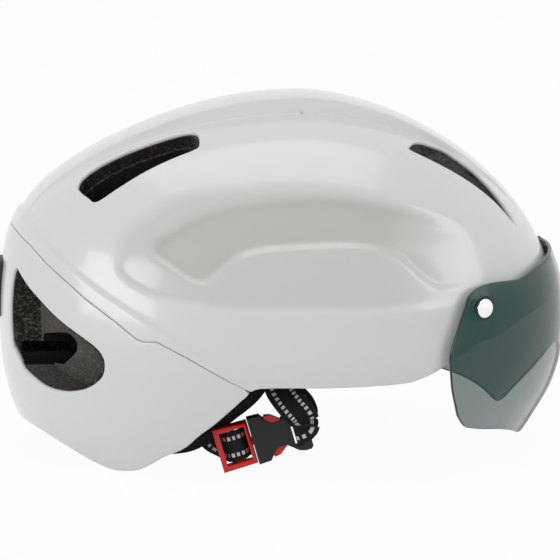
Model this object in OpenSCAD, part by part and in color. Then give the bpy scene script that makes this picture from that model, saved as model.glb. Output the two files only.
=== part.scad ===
// Bike helmet with a magnetic visor, held by the wearer's head.
// +X is forward, +Z is up, -Y is the wearer's right side.
// The origin is in the middle of the head space, level with the side rims.

/* [Shell] */
// Reach of the shell ahead of the origin
shell_front = 138; // [132:1:146]
// Reach of the shell behind the origin
shell_rear = 135; // [130:1:142]
// Width of the shell over the ears
shell_w = 208; // [204:1:220]
// Height of the crown over the side rims
crown_h = 134; // [130:1:142]
// Thickness of the shell mouldings
shell_t = 1.6; // [1.2:0.1:2.4]
// Width of the raised centre band
band_w = 42; // [34:1:50]
// Height of the centre band over the crown beside it
band_h = 8; // [4:0.5:9]
// Depth of the scooped recess on each side
scoop_depth = 3; // [1.5:0.5:4]
// Gap of the seam between the upper and lower shell
seam_gap = 0.6; // [0.4:0.1:1.2]

/* [Head space] */
// Length of the hollow in the liner
hollow_l = 214; // [205:1:220]
// Width of the hollow in the liner
hollow_w = 160; // [152:1:166]
// Height of the hollow over the side rims
hollow_h = 106; // [98:1:110]
// Thickness of the head pads
pad_t = 6; // [4:0.5:8]

/* [Visor] */
// Thickness of the lens
lens_t = 1.8; // [1.4:0.1:2.4]
// Diameter of the domed side studs
stud_d = 9.4; // [7:0.2:12]
// Diameter of the visor's magnets
magnet_d = 9; // [6:0.5:10]
// Width of the tab at the top of the lens
tab_w = 20; // [16:1:26]

/* [Straps and buckle] */
// Width of the webbing
web_w = 15; // [12:1:16]
// Thickness of the webbing
web_t = 1.6; // [1:0.1:2]
// Thickness of the buckle
buckle_t = 7; // [7:0.5:9]
// Slope of the closed buckle from back to front
buckle_slope = 16; // [8:1:20]

/* [Size adjuster] */
// Height of the side arms
arm_h = 12; // [10:1:14]
// Thickness of the arms and the yoke
arm_t = 2; // [1.6:0.1:2.4]
// Diameter of the temple pins
pin_d = 5; // [4:0.5:6]
// Diameter of the dial knob
dial_d = 28; // [24:1:32]
// Pitch radius of the dial's pinion
pinion_r = 4.5; // [4:0.5:5.5]
// Slope of the arms from the temples down to the nape
band_slope = 17; // [14:1:20]

/* [Rear light] */
// Width of the light
light_w = 24; // [20:1:28]
// Height of the light
light_h = 28; // [24:1:32]
// Depth of the light's case
light_d = 13; // [12:1:16]

/* [Hidden] */

AROUND = 42;             // points round one ring of the shell
RINGS = 14;              // rings from the lower edge to the crown
crown_x = 12;            // the crown stands this far ahead of the origin
low_z = -50;             // the rings start here and the rim trims them
fit_gap = 0.3;           // clearance between pieces that lie side by side
run_gap = 0.05;          // clearance of a pin in its hole
reach = 200;             // past the helmet on every side, for cuts

// Rear profile: share of the crown height below the crown, share of the reach behind the crown
rear_profile = [[0, 0], [0.034, 0.285], [0.12, 0.53], [0.24, 0.75], [0.35, 0.88], [0.49, 0.963],
    [0.66, 0.993], [0.85, 1], [1, 0.99], [1.15, 0.956], [1.26, 0.9], [1.4, 0.8]];

// Smooth curve through [at, value] rows
function tangent(p, i) =
    let (a = max(i - 1, 0), b = min(i + 1, len(p) - 1)) (p[b][1] - p[a][1]) / (p[b][0] - p[a][0]);
function span_of(p, at, i = 0) = (i >= len(p) - 2 || at < p[i + 1][0]) ? i : span_of(p, at, i + 1);
function through(p, at) =
    let (i = span_of(p, at), h = p[i + 1][0] - p[i][0], t = min(max((at - p[i][0]) / h, 0), 1))
    (2 * pow(t, 3) - 3 * pow(t, 2) + 1) * p[i][1] + (pow(t, 3) - 2 * pow(t, 2) + t) * h * tangent(p, i)
    + (3 * pow(t, 2) - 2 * pow(t, 3)) * p[i + 1][1] + (pow(t, 3) - pow(t, 2)) * h * tangent(p, i + 1);

// Outer form of the helmet, as egg-shaped rings
rear_rows = [for (row = rear_profile) [sqrt(row[0]), row[1]]];
function rear_reach(z) = (shell_rear + crown_x) * through(rear_rows, sqrt((crown_h - z) / crown_h));
brow_z = 35;
function front_reach(z) = z > brow_z
    ? (shell_front - crown_x) * pow(1 - pow((z - brow_z) / (crown_h - brow_z), 1.75), 1 / 1.75)
    : shell_front - crown_x - 0.004 * pow(brow_z - z, 2);
ear_z = 20;
tuck_z = 12;
function half_width(z) = z > ear_z
    ? shell_w / 2 * pow(1 - pow((z - ear_z) / (crown_h - ear_z), 2.2), 1 / 2.2)
    : shell_w / 2 - ln(1 + exp((tuck_z - z) / 3));
fade_z = 60;
function sunk_z(z, sink) = z - sink * pow(max(z - fade_z, 0) / (crown_h - fade_z), 2);
function power(v, e) = sign(v) * pow(abs(v), e);
roundness = 2 / 2.1;
function ring_point(a, z, sink, inset) =
    let (x = power(cos(a), roundness) * (cos(a) > 0 ? front_reach(z) : rear_reach(z)),
        y = power(sin(a), roundness) * half_width(z), zs = sunk_z(z, sink),
        kx = cos(a) > 0 ? 1 - inset / (shell_front - crown_x) : 1 - inset / (shell_rear + crown_x),
        ky = 1 - inset / (shell_w / 2), kz = zs > 0 ? 1 - inset / crown_h : 1)
    [crown_x + x * kx, y * ky, zs * kz];
function ring_z(k) = crown_h - (crown_h - low_z) * pow(1 - k / RINGS, 2);

module closed_rings(rows, top) {
    n = len(rows[0]);
    m = len(rows);
    points = concat([for (row = rows, p = row) p], [top]);
    sides = [for (k = [0:m - 2], i = [0:n - 1], half = [0:1]) let (j = (i + 1) % n)
        half == 0 ? [k * n + i, (k + 1) * n + i, (k + 1) * n + j] : [k * n + i, (k + 1) * n + j, k * n + j]];
    cap = [for (i = [0:n - 1]) [(m - 1) * n + i, m * n, (m - 1) * n + (i + 1) % n]];
    polyhedron(points, concat(sides, cap, [[for (i = [0:n - 1]) i]]), convexity = 6);
}

module dome(inset, sink) {
    rows = [for (k = [0:RINGS - 1]) [for (i = [0:AROUND - 1]) ring_point(360 * i / AROUND, ring_z(k), sink, inset)]];
    closed_rings(rows, [crown_x, 0, sunk_z(crown_h, sink) * (1 - inset / crown_h)]);
}

// Side view outlines, [x, z]
scoop_outline = [[-66, 68], [-62, 77], [-42, 88], [-20, 93.5], [12, 96], [44, 93], [74, 84], [99, 71], [110, 62],
    [100, 56], [86, 49], [73, 47], [66, 50], [56, 60], [48, 66], [36, 69], [12, 70], [-10, 68.5], [-22, 64],
    [-34, 55], [-41, 52.5], [-48, 55]];
rim_outline = [[-160, 170], [-160, -18], [-119, -26], [-95, -37], [-88, -40.5], [-80, -42], [-71, -40.5],
    [-57, -32.5], [-41, -20.5], [-24, -4.5], [-18, 1], [-10, 3.6], [0, 4], [52, 4.5], [64, 7], [76, 12.5], [86, 18],
    [104, 24], [120, 29], [160, 38], [160, 170]];
seam_line = [[-170, 84], [-127, 69], [-111, 57], [-95, 44.5], [-72, 28], [-67, 25.5], [-61, 26], [-38, 14],
    [-12, 0], [12, -14]];

module from_side(outline, grow = 0) {
    rotate([90, 0, 0]) translate([0, 0, -reach]) linear_extrude(2 * reach) offset(delta = grow) polygon(outline);
}

module outer_form(inset) {
    difference() {
        union() {
            dome(inset, band_h);
            intersection() {
                dome(inset, 0);
                translate([-reach, -band_w / 2 + inset, 0]) cube([2 * reach, band_w - 2 * inset, reach]);
            }
        }
        difference() {
            from_side(scoop_outline, inset);
            dome(inset + scoop_depth, 0);
        }
    }
}

// Vents: beside the band at the back and front, seen from above as [x, y], and at the back as [y, z]
back_vent = [[-98, 38], [-95, 30], [-80, 27], [-45, 27], [-39, 32], [-39.5, 48], [-50, 50.5], [-64, 53], [-78, 56],
    [-90, 56]];
front_vent = [[62, 44], [66, 32], [76, 23], [86, 23], [95, 26], [104, 32], [116, 41.5], [106, 42], [94, 43],
    [80, 44.5]];
rear_vent = [[33, 53], [54, 40], [77, 22], [80, 16], [78, 8], [71, 0], [61, -3.5], [50, -1.5], [40, 5], [37, 11],
    [32, 14], [30, 30], [30.5, 42]];
vent_round = 3;
// The rear ducts in the foam are blind pockets with a smaller hole through
rear_hole = [[35, 20], [50, 24], [56, 21.5], [57, 16], [53, 9], [46, 6], [38, 7], [34, 12]];
duct_depth = 12;

module rounded(outline, inset) {
    offset(r = vent_round, $fn = 12) offset(delta = -vent_round - inset) polygon(outline);
}
module top_vents(inset) {
    for (side = [-1, 1]) scale([1, side, 1]) translate([0, 0, 60]) linear_extrude(reach) {
        rounded(back_vent, inset);
        rounded(front_vent, inset);
    }
}
module rear_vents(outline, inset) {
    for (side = [-1, 1]) scale([1, side, 1]) translate([-reach, 0, 0]) rotate([90, 0, 90])
        linear_extrude(reach - 55) rounded(outline, inset);
}

module one_skin() {
    resize([0, 0, 0]) children();
}

module shell_layer() {
    difference() {
        intersection() {
            outer_form(0);
            from_side(rim_outline);
        }
        outer_form(shell_t);
        top_vents(0);
        rear_vents(rear_vent, 0);
        light_pocket(fit_gap);
    }
}

module behind_seam(gap) {
    rotate([90, 0, 0]) translate([0, 0, -reach]) linear_extrude(2 * reach)
        offset(delta = -gap / 2) polygon(concat(seam_line, [[12, -160], [-170, -160]]));
}

module upper_shell() {
    color("white") one_skin() difference() {
        shell_layer();
        behind_seam(-seam_gap);
        visor_seat_cuts();
    }
}

module lower_shell() {
    color("white") one_skin() intersection() {
        shell_layer();
        behind_seam(seam_gap);
    }
}

// Head space: an upright oval with a domed top
hollow_x = 2;
hollow_dome_z = 30;
module head_space(grow = 0) {
    translate([hollow_x, 0, hollow_dome_z])
        scale([hollow_l / 2 + grow, hollow_w / 2 + grow, hollow_h - hollow_dome_z + grow]) sphere(1, $fn = 32);
    translate([hollow_x, 0, -reach]) scale([hollow_l / 2 + grow, hollow_w / 2 + grow, 1])
        cylinder(h = reach + hollow_dome_z, r = 1, $fn = 32);
}

// The size adjuster lies in a notch at the back of the liner
dial_notch_w = 70;
dial_notch_top = 16;
liner_wall = 1.2;        // vent ducts in the foam are this much narrower than the holes in the shell
adjuster_room = 6;       // below the brow line the hollow is this much wider for the straps and arms
liner_joint = 0.2;       // the foam is moulded in two blocks that meet behind the shell's seam
module liner() {
    difference() {
        intersection() {
            outer_form(shell_t + 0.1);
            from_side(rim_outline, -shell_t);
        }
        head_space();
        intersection() {
            head_space(adjuster_room);
            translate([-reach, -reach, -reach]) cube([reach + 62, 2 * reach, reach + hollow_dome_z]);
        }
        top_vents(liner_wall);
        rear_vents(rear_hole, 0);
        difference() {
            rear_vents(rear_vent, liner_wall);
            dome(shell_t + duct_depth, 0);
        }
        light_pocket(2 * fit_gap);
        translate([-shell_rear - 10, -dial_notch_w / 2, -reach])
            cube([shell_rear - 65, dial_notch_w, reach + dial_notch_top]);
        visor_seat_cuts();
        anchor_discs(fit_gap);
        for (side = [-1, 1]) translate([pin_x, side * hollow_w / 2, pin_z]) rotate([-90 * side, 0, 0])
            cylinder(d = pin_d + 2 * run_gap, h = 10, $fn = 40);
    }
}
module upper_liner() {
    color([0.13, 0.13, 0.14]) one_skin() difference() {
        liner();
        behind_seam(-liner_joint);
    }
}
module lower_liner() {
    color([0.15, 0.15, 0.16]) one_skin() intersection() {
        liner();
        behind_seam(liner_joint);
    }
}

// Point on the wall of the head space at a bearing round the head and a height angle
function wall_point(bearing, lift, depth) =
    let (up = max(lift, 0), side = cos(up))
    [hollow_x + (hollow_l / 2 - depth) * side * cos(bearing), (hollow_w / 2 - depth) * side * sin(bearing),
        hollow_dome_z + (lift > 0 ? (hollow_h - hollow_dome_z - depth) * sin(lift) : lift)];

// Crowned cushion on the wall of the head space: full in the middle, drawn in at its edges
pad_stand = 2.4;         // the pads stand off the foam on their hook dots
PAD_LONG = 10;
PAD_WIDE = 6;
module wall_pad(bearings, lifts, bow = 0) {
    nu = PAD_LONG;
    nv = PAD_WIDE;
    function spot(u, v) =
        let (w = 2 * v / nv - 1, s = 2 * u / nu - 1, draw = 1 - 0.12 * pow(s, 4))
        [(bearings[0] + bearings[1]) / 2 + s * (bearings[1] - bearings[0]) / 2 * (1 - 0.05 * pow(w, 4)),
            (lifts[0] + lifts[1]) / 2 + bow * pow(s, 2) + w * draw * (lifts[1] - lifts[0]) / 2];
    function plump(u, v) =
        let (s = 2 * u / nu - 1, w = 2 * v / nv - 1)
        0.8 + (pad_t - 0.8) * sqrt(max(1 - pow(abs(s), 5), 0)) * sqrt(max(1 - pow(abs(w), 3), 0));
    function layer(deep) = [for (v = [0:nv], u = [0:nu]) let (a = spot(u, v))
        wall_point(a[0], a[1], pad_stand + (deep ? plump(u, v) : 0))];
    n = nu + 1;
    all = n * (nv + 1);
    grid = [for (v = [0:nv - 1], u = [0:nu - 1], half = [0:1]) let (a = v * n + u)
        half == 0 ? [a, a + n + 1, a + 1] : [a, a + n, a + n + 1]];
    back = [for (f = grid) [f[2] + all, f[1] + all, f[0] + all]];
    rim = concat([for (u = [0:nu]) u], [for (v = [1:nv]) v * n + nu], [for (u = [nu - 1:-1:0]) nv * n + u],
        [for (v = [nv - 1:-1:1]) v * n]);
    edge = [for (i = [0:len(rim) - 1], half = [0:1]) let (a = rim[i], b = rim[(i + 1) % len(rim)])
        half == 0 ? [a, b, b + all] : [a, b + all, a + all]];
    polyhedron(concat(layer(false), layer(true)), concat(grid, back, edge), convexity = 4);
}

module brow_pad() {
    color([0.08, 0.08, 0.09]) wall_pad([-48, 48], [-2, 16]);
}
module crown_pad(side) {
    color([0.08, 0.08, 0.09]) wall_pad(side > 0 ? [46, 134] : [-134, -46], [52, 65]);
}
module side_pad(side) {
    color([0.08, 0.08, 0.09]) wall_pad(side > 0 ? [66, 112] : [-112, -66], [26, 46]);
}

// Hook dots glued to the foam behind each pad
hook_d = 12;
hook_t = 0.8;
hook_spots = [[0, 7], [-32, 7], [32, 7], [-90, 58.5], [90, 58.5], [-89, 36], [89, 36]];
module pad_hooks() {
    color([0.2, 0.2, 0.2]) for (spot = hook_spots) {
        p = wall_point(spot[0], spot[1], 1.2 + hook_t);
        out = [(p[0] - hollow_x) / pow(hollow_l / 2, 2), p[1] / pow(hollow_w / 2, 2),
            (p[2] - hollow_dome_z) / pow(hollow_h - hollow_dome_z, 2)];
        translate(p) rotate([0, acos(out[2] / norm(out)), atan2(out[1], out[0])])
            cylinder(d = hook_d, h = hook_t, $fn = 16);
    }
}

// Visor lens: front profile as [z, x] and half width as [z, y]
lens_stand = 6.5;        // the lens stands this far ahead of the brow
lens_front = [[-40, -24], [-34, -19.5], [-22, -12], [-10, -6], [5, -1.5], [22, 0], [40, -1.5], [52, -5], [62, -9]];
lens_side = [[-40, -7], [-20, -3], [0, 2], [20, 4.5], [40, 4.5], [55, 3], [62, 2]];
function lens_x(z) = shell_front + lens_stand + through(lens_front, z) - crown_x;
function lens_y(z) = shell_w / 2 + through(lens_side, z);
function lens_point(a, z, deep) =
    [crown_x + (lens_x(z) - deep) * pow(cos(a), roundness), (lens_y(z) - deep) * power(sin(a), roundness), z];
// Edges of the right half as [bearing, z], from the middle outwards, and the rear edge from the bottom up
lens_top = [[0, 58], [12, 56.5], [24, 53.5], [33, 51], [39, 49.5], [46, 50], [51, 49.5], [55, 46]];
lens_bottom = [[0, 7], [5, 3], [11, -8], [16, -21], [21, -32], [32, -27], [40, -24], [50, -20.5], [54.5, -16]];
lens_back = [[54.5, -16], [57.5, -11], [60.3, 2], [61.3, 14], [61.2, 20], [59, 33], [57.3, 40], [55, 46]];
LENS_LONG = 14;
LENS_HIGH = 9;
function along(p, t) = let (f = min(t, 0.9999) * (len(p) - 1), i = floor(f)) p[i] + (p[i + 1] - p[i]) * (f - i);
function lens_spot(u, v) =
    (1 - v) * along(lens_bottom, u) + v * along(lens_top, u)
    + (1 - u) * [0, 7 + 51 * v] + u * along(lens_back, v)
    - (1 - u) * (1 - v) * [0, 7] - u * v * [55, 46] - (1 - u) * v * [0, 58] - u * (1 - v) * [54.5, -16];
module visor_lens() {
    nu = 2 * LENS_LONG;
    nv = LENS_HIGH;
    n = nu + 1;
    all = n * (nv + 1);
    function layer(deep) = [for (v = [0:nv], u = [-LENS_LONG:LENS_LONG])
        let (s = lens_spot(abs(u) / LENS_LONG, v / nv)) lens_point(sign(u) * s[0], s[1], deep)];
    grid = [for (v = [0:nv - 1], u = [0:nu - 1], half = [0:1]) let (a = v * n + u)
        half == 0 ? [a, a + n + 1, a + 1] : [a, a + n, a + n + 1]];
    back = [for (f = grid) [f[2] + all, f[1] + all, f[0] + all]];
    rim = concat([for (u = [0:nu]) u], [for (v = [1:nv]) v * n + nu], [for (u = [nu - 1:-1:0]) nv * n + u],
        [for (v = [nv - 1:-1:1]) v * n]);
    edge = [for (i = [0:len(rim) - 1], half = [0:1]) let (a = rim[i], b = rim[(i + 1) % len(rim)])
        half == 0 ? [a, b, b + all] : [a, b + all, a + all]];
    color([0.2, 0.3, 0.3, 0.6]) polyhedron(concat(layer(0), layer(lens_t)), concat(grid, back, edge), convexity = 6);
}

// The side studs sit on the lens here
stud_bearing = 52.5;
stud_z = 39;
stud_turn = 58;          // bearing of the stud's own axis
magnet_t = 2;
seat_t = 1.2;
module at_stud(side, deep = 0) {
    p = lens_point(side * stud_bearing, stud_z, 0);
    translate(p) rotate([0, 90, side * stud_turn]) translate([0, 0, -deep]) children();
}
module visor_studs() {
    color("silver") for (side = [-1, 1]) at_stud(side) translate([0, 0, fit_gap]) intersection() {
        cylinder(d = stud_d, h = 2, $fn = 32);
        translate([0, 0, 2 - stud_d]) sphere(stud_d, $fn = 32);
    }
}
lens_to_magnet = lens_t + 3 * fit_gap;
module visor_magnets() {
    color("dimgray") {
        for (side = [-1, 1]) at_stud(side, lens_to_magnet + magnet_t) cylinder(d = magnet_d, h = magnet_t, $fn = 32);
        at_tab(-tab_t) cylinder(d = magnet_d, h = tab_magnet_t, $fn = 32);
    }
}
module visor_seats() {
    color("gray") {
        for (side = [-1, 1]) at_stud(side, lens_to_magnet + magnet_t + fit_gap + seat_t)
            cylinder(d = magnet_d + 2, h = seat_t, $fn = 32);
        at_tab(-tab_t - fit_gap - seat_t) cylinder(d = magnet_d + 2, h = seat_t, $fn = 32);
    }
}
module visor_seat_cuts() {
    for (side = [-1, 1]) at_stud(side, lens_to_magnet + magnet_t + 3 * seat_t)
        cylinder(d = magnet_d + 2 + fit_gap, h = 3 * seat_t + fit_gap, $fn = 32);
    at_tab(-tab_t - 3 * seat_t) cylinder(d = magnet_d + 2 + fit_gap, h = 3 * seat_t, $fn = 32);
}

// Thin tab between the top middle of the lens and the brow, tilted like the brow
tab_t = 1.6;
tab_h = 12;
tab_tilt = 21;
tab_z = 53.5;
tab_magnet_t = 1;
module at_tab(out) {
    face = crown_x + front_reach(tab_z) + 0.5 + tab_t / cos(tab_tilt);
    translate([face, 0, tab_z]) rotate([0, 90 - tab_tilt, 0]) translate([0, 0, out]) children();
}
module visor_tab() {
    color([0.1, 0.1, 0.11]) difference() {
        at_tab(-tab_t) linear_extrude(tab_t) offset(r = 3, $fn = 24) square([tab_h - 6, tab_w - 6], center = true);
        at_tab(-tab_t - 1) cylinder(d = magnet_d + fit_gap, h = 1 + tab_magnet_t + run_gap, $fn = 32);
    }
}

// Flat webbing along [x, y, z] points, with the direction of its width at each point
module webbing(path, widths) {
    m = len(path);
    function ahead(i) = path[min(i + 1, m - 1)] - path[max(i - 1, 0)];
    function unit(v) = v / norm(v);
    function flat(i) = let (t = unit(ahead(i))) unit(widths[i] - t * (widths[i] * t));
    function row(i) = let (w = flat(i) * web_w / 2, h = unit(cross(unit(ahead(i)), flat(i))) * web_t / 2)
        [path[i] - w - h, path[i] + w - h, path[i] + w + h, path[i] - w + h];
    points = [for (i = [0:m - 1], p = row(i)) p];
    sides = [for (i = [0:m - 2], k = [0:3], half = [0:1]) let (j = (k + 1) % 4)
        half == 0 ? [4 * i + k, 4 * i + 4 + k, 4 * i + 4 + j] : [4 * i + k, 4 * i + 4 + j, 4 * i + j]];
    ends = [[0, 1, 2], [0, 2, 3], [4 * m - 4, 4 * m - 2, 4 * m - 3], [4 * m - 4, 4 * m - 1, 4 * m - 2]];
    color([0.06, 0.06, 0.07]) polyhedron(points, concat(sides, ends), convexity = 4);
}
function side_of(p, side) = [for (q = p) [q[0], q[1] * side, q[2]]];

// Under each ear the front and rear straps lie in two layers in the divider
divider_in = 8.15;       // the dividers hang this far inside the wall of the hollow
divider_at = [-5, hollow_w / 2 - divider_in, 14];
divider = [24, 7.5, 20];
anchor_t = 3;
front_anchor = [43.4, hollow_w / 2 - 2.6, 21];
rear_anchor_x = -68.7;
rear_wall_y = (hollow_w / 2 + adjuster_room)
    * sqrt(1 - pow((rear_anchor_x - hollow_x) / (hollow_l / 2 + adjuster_room), 2));
rear_anchor = [rear_anchor_x, min(rear_wall_y - 3.1, 0.83 * half_width(-25) - 12.1), -25];
strap_off = web_t / 2 + anchor_t / 2 + 0.4;
outer_y = divider_at[1] + (web_t + fit_gap) / 2;
inner_y = divider_at[1] - (web_t + fit_gap) / 2;
front_path = [front_anchor - [0.7, strap_off, 0], [32, outer_y + 1.5, 19.5], [18, outer_y + 0.3, 16],
    [9, outer_y, 14.2], [divider_at[0] + 7, outer_y, 14]];
front_width = [for (p = front_path) [0.1, 0, 1]];
function rear_path(layer_y) = [rear_anchor + [1.7, -strap_off, 0], [-58, rear_anchor[1] + 1, -26.5],
    [-44, (rear_anchor[1] + outer_y) / 2 - 0.1, -24], [-30, outer_y - 2.5, -12],
    [-18, (layer_y + outer_y - 0.8) / 2, -2], [divider_at[0] - 6, layer_y, 8.5]];
rear_width = [[0.2, 0, 1], [-0.2, 0, 1], [-0.5, 0, 0.85], [-0.6, 0, 0.8], [-0.75, 0, 0.7], [-0.8, 0, 0.6]];
module front_strap(side) {
    webbing(side_of(front_path, side), side_of(front_width, side));
}
module rear_strap(side) {
    webbing(side_of(rear_path(side < 0 ? inner_y : outer_y), side), side_of(rear_width, side));
}

slot_y = 2 * web_t + 3 * fit_gap;
module strap_divider(side) {
    color([0.1, 0.1, 0.11]) translate([divider_at[0], side * divider_at[1], divider_at[2]]) difference() {
        cube(divider, center = true);
        cube([divider[0] + 2, slot_y, divider[2] - 4], center = true);
        translate([-divider[0] / 2 - 1, -slot_y / 2, -divider[2] / 2 - 1])
            cube([divider[0] / 2 + 3.6 + web_w / 2, slot_y, divider[2] / 2]);
    }
}
module anchor_discs(grow) {
    for (side = [-1, 1]) {
        translate(side_of([front_anchor], side)[0]) rotate([90, 0, side * -17])
            cylinder(d = web_w + 2.6 + 2 * grow, h = anchor_t + 2 * grow, center = true, $fn = 24);
        translate(side_of([rear_anchor], side)[0]) rotate([90, 0, side * 32])
            cylinder(d = web_w + 2.6 + 2 * grow, h = anchor_t + 2 * grow, center = true, $fn = 24);
    }
}
module strap_anchors() {
    color([0.1, 0.1, 0.11]) anchor_discs(0);
}

// Buckle, drawn along X with the clip at the back, then turned to hang in the right side's straps
buckle_at = [-8.5, -outer_y - 1.2, -24];
socket_w = 23;
clip_w = 21;
clip_l = 17;
clip_back = -24;
clip_bar = 2;
clip_mid = clip_back + clip_l / 2;
slot_x = 12.2;           // slot for the webbing at the end of the socket
slot_w = 3.6;
module at_buckle() {
    translate(buckle_at) rotate([0, -buckle_slope, 0]) children();
}
function on_buckle(x, y, z) =
    buckle_at + [x * cos(buckle_slope) - z * sin(buckle_slope), y, x * sin(buckle_slope) + z * cos(buckle_slope)];
module flat_plate(outline, t) {
    rotate([90, 0, 0]) translate([0, 0, -t / 2]) linear_extrude(t) polygon(outline);
}
socket_outline = [[-7, -11.5], [-1, -11.2], [1.5, -8], [4, -6], [8, -6], [10.5, -8], [13, -10.2], [16, -11.2],
    [19, -11.2], [20.2, -10], [20.2, 10], [19, 11.2], [16, 11.2], [13, 10.2], [10.5, 8], [8, 6], [4, 6], [1.5, 8],
    [-1, 11.2], [-7, 11.5]];
window = [-1, 9.5];
module buckle_socket() {
    color([0.1, 0.1, 0.11]) at_buckle() difference() {
        flat_plate(socket_outline, buckle_t);
        translate([-8, -2.3, -socket_w / 2 + 2.2]) cube([window[1] + 8, 4.6, socket_w - 4.4]);
        translate([window[0], -2.3, -socket_w]) cube([window[1] - window[0], 4.6, 2 * socket_w]);
        translate([slot_x, -buckle_t, -web_w / 2 - 0.6]) cube([slot_w, 2 * buckle_t, web_w + 1.2]);
    }
}
module buckle_clip() {
    color("red") at_buckle() {
        difference() {
            translate([clip_back, -2.6, -clip_w / 2]) cube([clip_l - fit_gap, 5.2, clip_w]);
            translate([clip_back + clip_bar, -4, -web_w / 2 - 0.8]) cube([clip_l - 2 * clip_bar - fit_gap, 8, web_w + 1.6]);
        }
        translate([clip_mid - 1.2, 0.6, -clip_w / 2 + 1]) cube([2.4, 2, clip_w - 2]);
        translate([clip_back + clip_l - fit_gap, -1.5, -1.8]) cube([15, 3, 3.6]);
    }
}
prong_root = clip_back + clip_l;
prong_outline = [[0, 4.2], [0, 8], [6.6, 8.2], [8, 10.4], [11, 9.8], [15.6, 6.2], [15.6, 4.6], [8, 5.2], [3, 5]];
module prong(side) {
    color("red") at_buckle() difference() {
        flat_plate([for (p = side > 0 ? prong_outline : [for (i = [len(prong_outline) - 1:-1:0]) prong_outline[i]])
            [prong_root + fit_gap + p[0], side * p[1]]], 4);
        translate([prong_root + 2, 0, side * 6.4]) rotate([90, 0, 0]) cylinder(d = 1, h = 6, center = true, $fn = 16);
    }
}

// Short strap from the right divider: over the socket's end bar, through its slot and back up behind
over_bar = buckle_t / 2 + web_t / 2 + fit_gap;
in_slot = slot_x + slot_w / 2;
buckle_strap_path = [[-3.4, -outer_y, 4.8], [-3.2, -outer_y, 3.4], [-1.6, -outer_y - 2.6, -1.5],
    [3, -outer_y - 6.2, -7.5], [8, -outer_y - 6.2, -13.5], on_buckle(in_slot + 4.5, -over_bar, 1),
    on_buckle(in_slot + 1.4, -over_bar, 0),
    on_buckle(in_slot, -over_bar + 1.6, 0), on_buckle(in_slot, over_bar - 1.6, 0), on_buckle(in_slot + 1.4, over_bar, 0),
    on_buckle(in_slot + 5, over_bar + 0.2, 1), [8, -outer_y + 4, -11], [3, -outer_y + 2.8, -5]];
across = [-sin(buckle_slope), 0, cos(buckle_slope)];
buckle_strap_width = concat([[1, 0, 0], [1, 0, 0], [1, 0, 0.15], [0.9, 0, 0.5], [0.5, 0, 0.85]],
    [for (i = [0:5]) across], [[0.5, 0, 0.85], [0.9, 0, 0.5]]);
module buckle_strap() {
    webbing(buckle_strap_path, buckle_strap_width);
}

// Long strap from the clip round the back to the left divider
chin_path = [on_buckle(clip_mid + 7.6, 4.2, 0), on_buckle(clip_mid + 5.2, 3.9, 0), on_buckle(clip_mid + 3.9, 1.4, 0),
    on_buckle(clip_mid + 2.2, -0.4, 0), on_buckle(clip_mid - 2.2, -0.4, 0), on_buckle(clip_mid - 3.9, 1.4, 0),
    on_buckle(clip_mid - 5.2, 3.9, 0), on_buckle(clip_mid - 7, 8.6, 0.8), [-38, 9.8 - outer_y, -22],
    [-47, 15.8 - outer_y, -20.5], [-58, -0.58 * outer_y, -24], [-63, -0.3 * outer_y, -26], [-64, 0, -27],
    [-62, 0.33 * outer_y, -26], [-52, 0.604 * outer_y, -25], [-40, outer_y - 16.8, -23],
    [-27, outer_y - 9.8, -17], [-14, outer_y - 4.8, -8], [-6.5, inner_y - 0.9, -1], [divider_at[0], inner_y, 5]];
chin_width = concat([for (i = [0:7]) across], [for (i = [0:7]) [0, 0, 1]],
    [[-0.5, 0, 0.9], [-0.8, 0, 0.6], [-1, 0, 0.3], [-1, 0, 0]]);
module chin_strap() {
    webbing(chin_path, chin_width);
}
module strap_keeper() {
    color([0.08, 0.08, 0.08]) translate([-60.5, -32, -25]) rotate([0, 0, 104]) difference() {
        cube([4, web_t + 3.6, web_w + 3.8], center = true);
        cube([6, web_t + 1.2, web_w + 1.4], center = true);
    }
}

// Size adjuster, drawn along X from the temple pins, then sloped down to the nape
pin_x = 10;
pin_z = 18;
arm_y = hollow_w / 2 + 1;
arm_back = -40;
yoke_front = -20;
yoke_bend = -29;
yoke_back = -113;
yoke_y = arm_y - arm_t - fit_gap;
yoke_h = arm_h + 2;
module at_band() {
    translate([pin_x, 0, pin_z]) rotate([0, -band_slope, 0]) children();
}
module temple_pins() {
    color([0.15, 0.15, 0.16]) at_band() for (side = [-1, 1]) rotate([-90 * side, 0, 0]) {
        translate([0, 0, arm_y - arm_t - 1.2]) cylinder(d = pin_d, h = arm_t + 9, $fn = 40);
        translate([0, 0, arm_y - arm_t - 1.5 - fit_gap]) cylinder(d = 2 * pin_d, h = 1.5, $fn = 32);
    }
}
module arm(side) {
    color([0.1, 0.1, 0.11]) at_band() rotate([90, 0, 0]) translate([0, 0, side > 0 ? -arm_y : arm_y - arm_t])
        difference() {
            linear_extrude(arm_t) union() {
                translate([arm_back, -arm_h / 2]) square([-arm_back, arm_h]);
                circle(d = arm_h, $fn = 48);
            }
            translate([0, 0, -1]) cylinder(d = pin_d + 2 * run_gap, h = arm_t + 2, $fn = 48);
            for (i = [0:2]) translate([arm_back + 6 + 8 * i, -1.2, -1]) cube([5, 2.4, arm_t + 2]);
        }
}
function yoke_edge(grow) = concat(
    [[yoke_front, yoke_y + grow]],
    [for (i = [0:24]) let (a = 90 - 180 * i / 24)
        [yoke_bend - (yoke_bend - yoke_back + grow) * cos(a), (yoke_y + grow) * sin(a)]],
    [[yoke_front, -yoke_y - grow]]);
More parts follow.
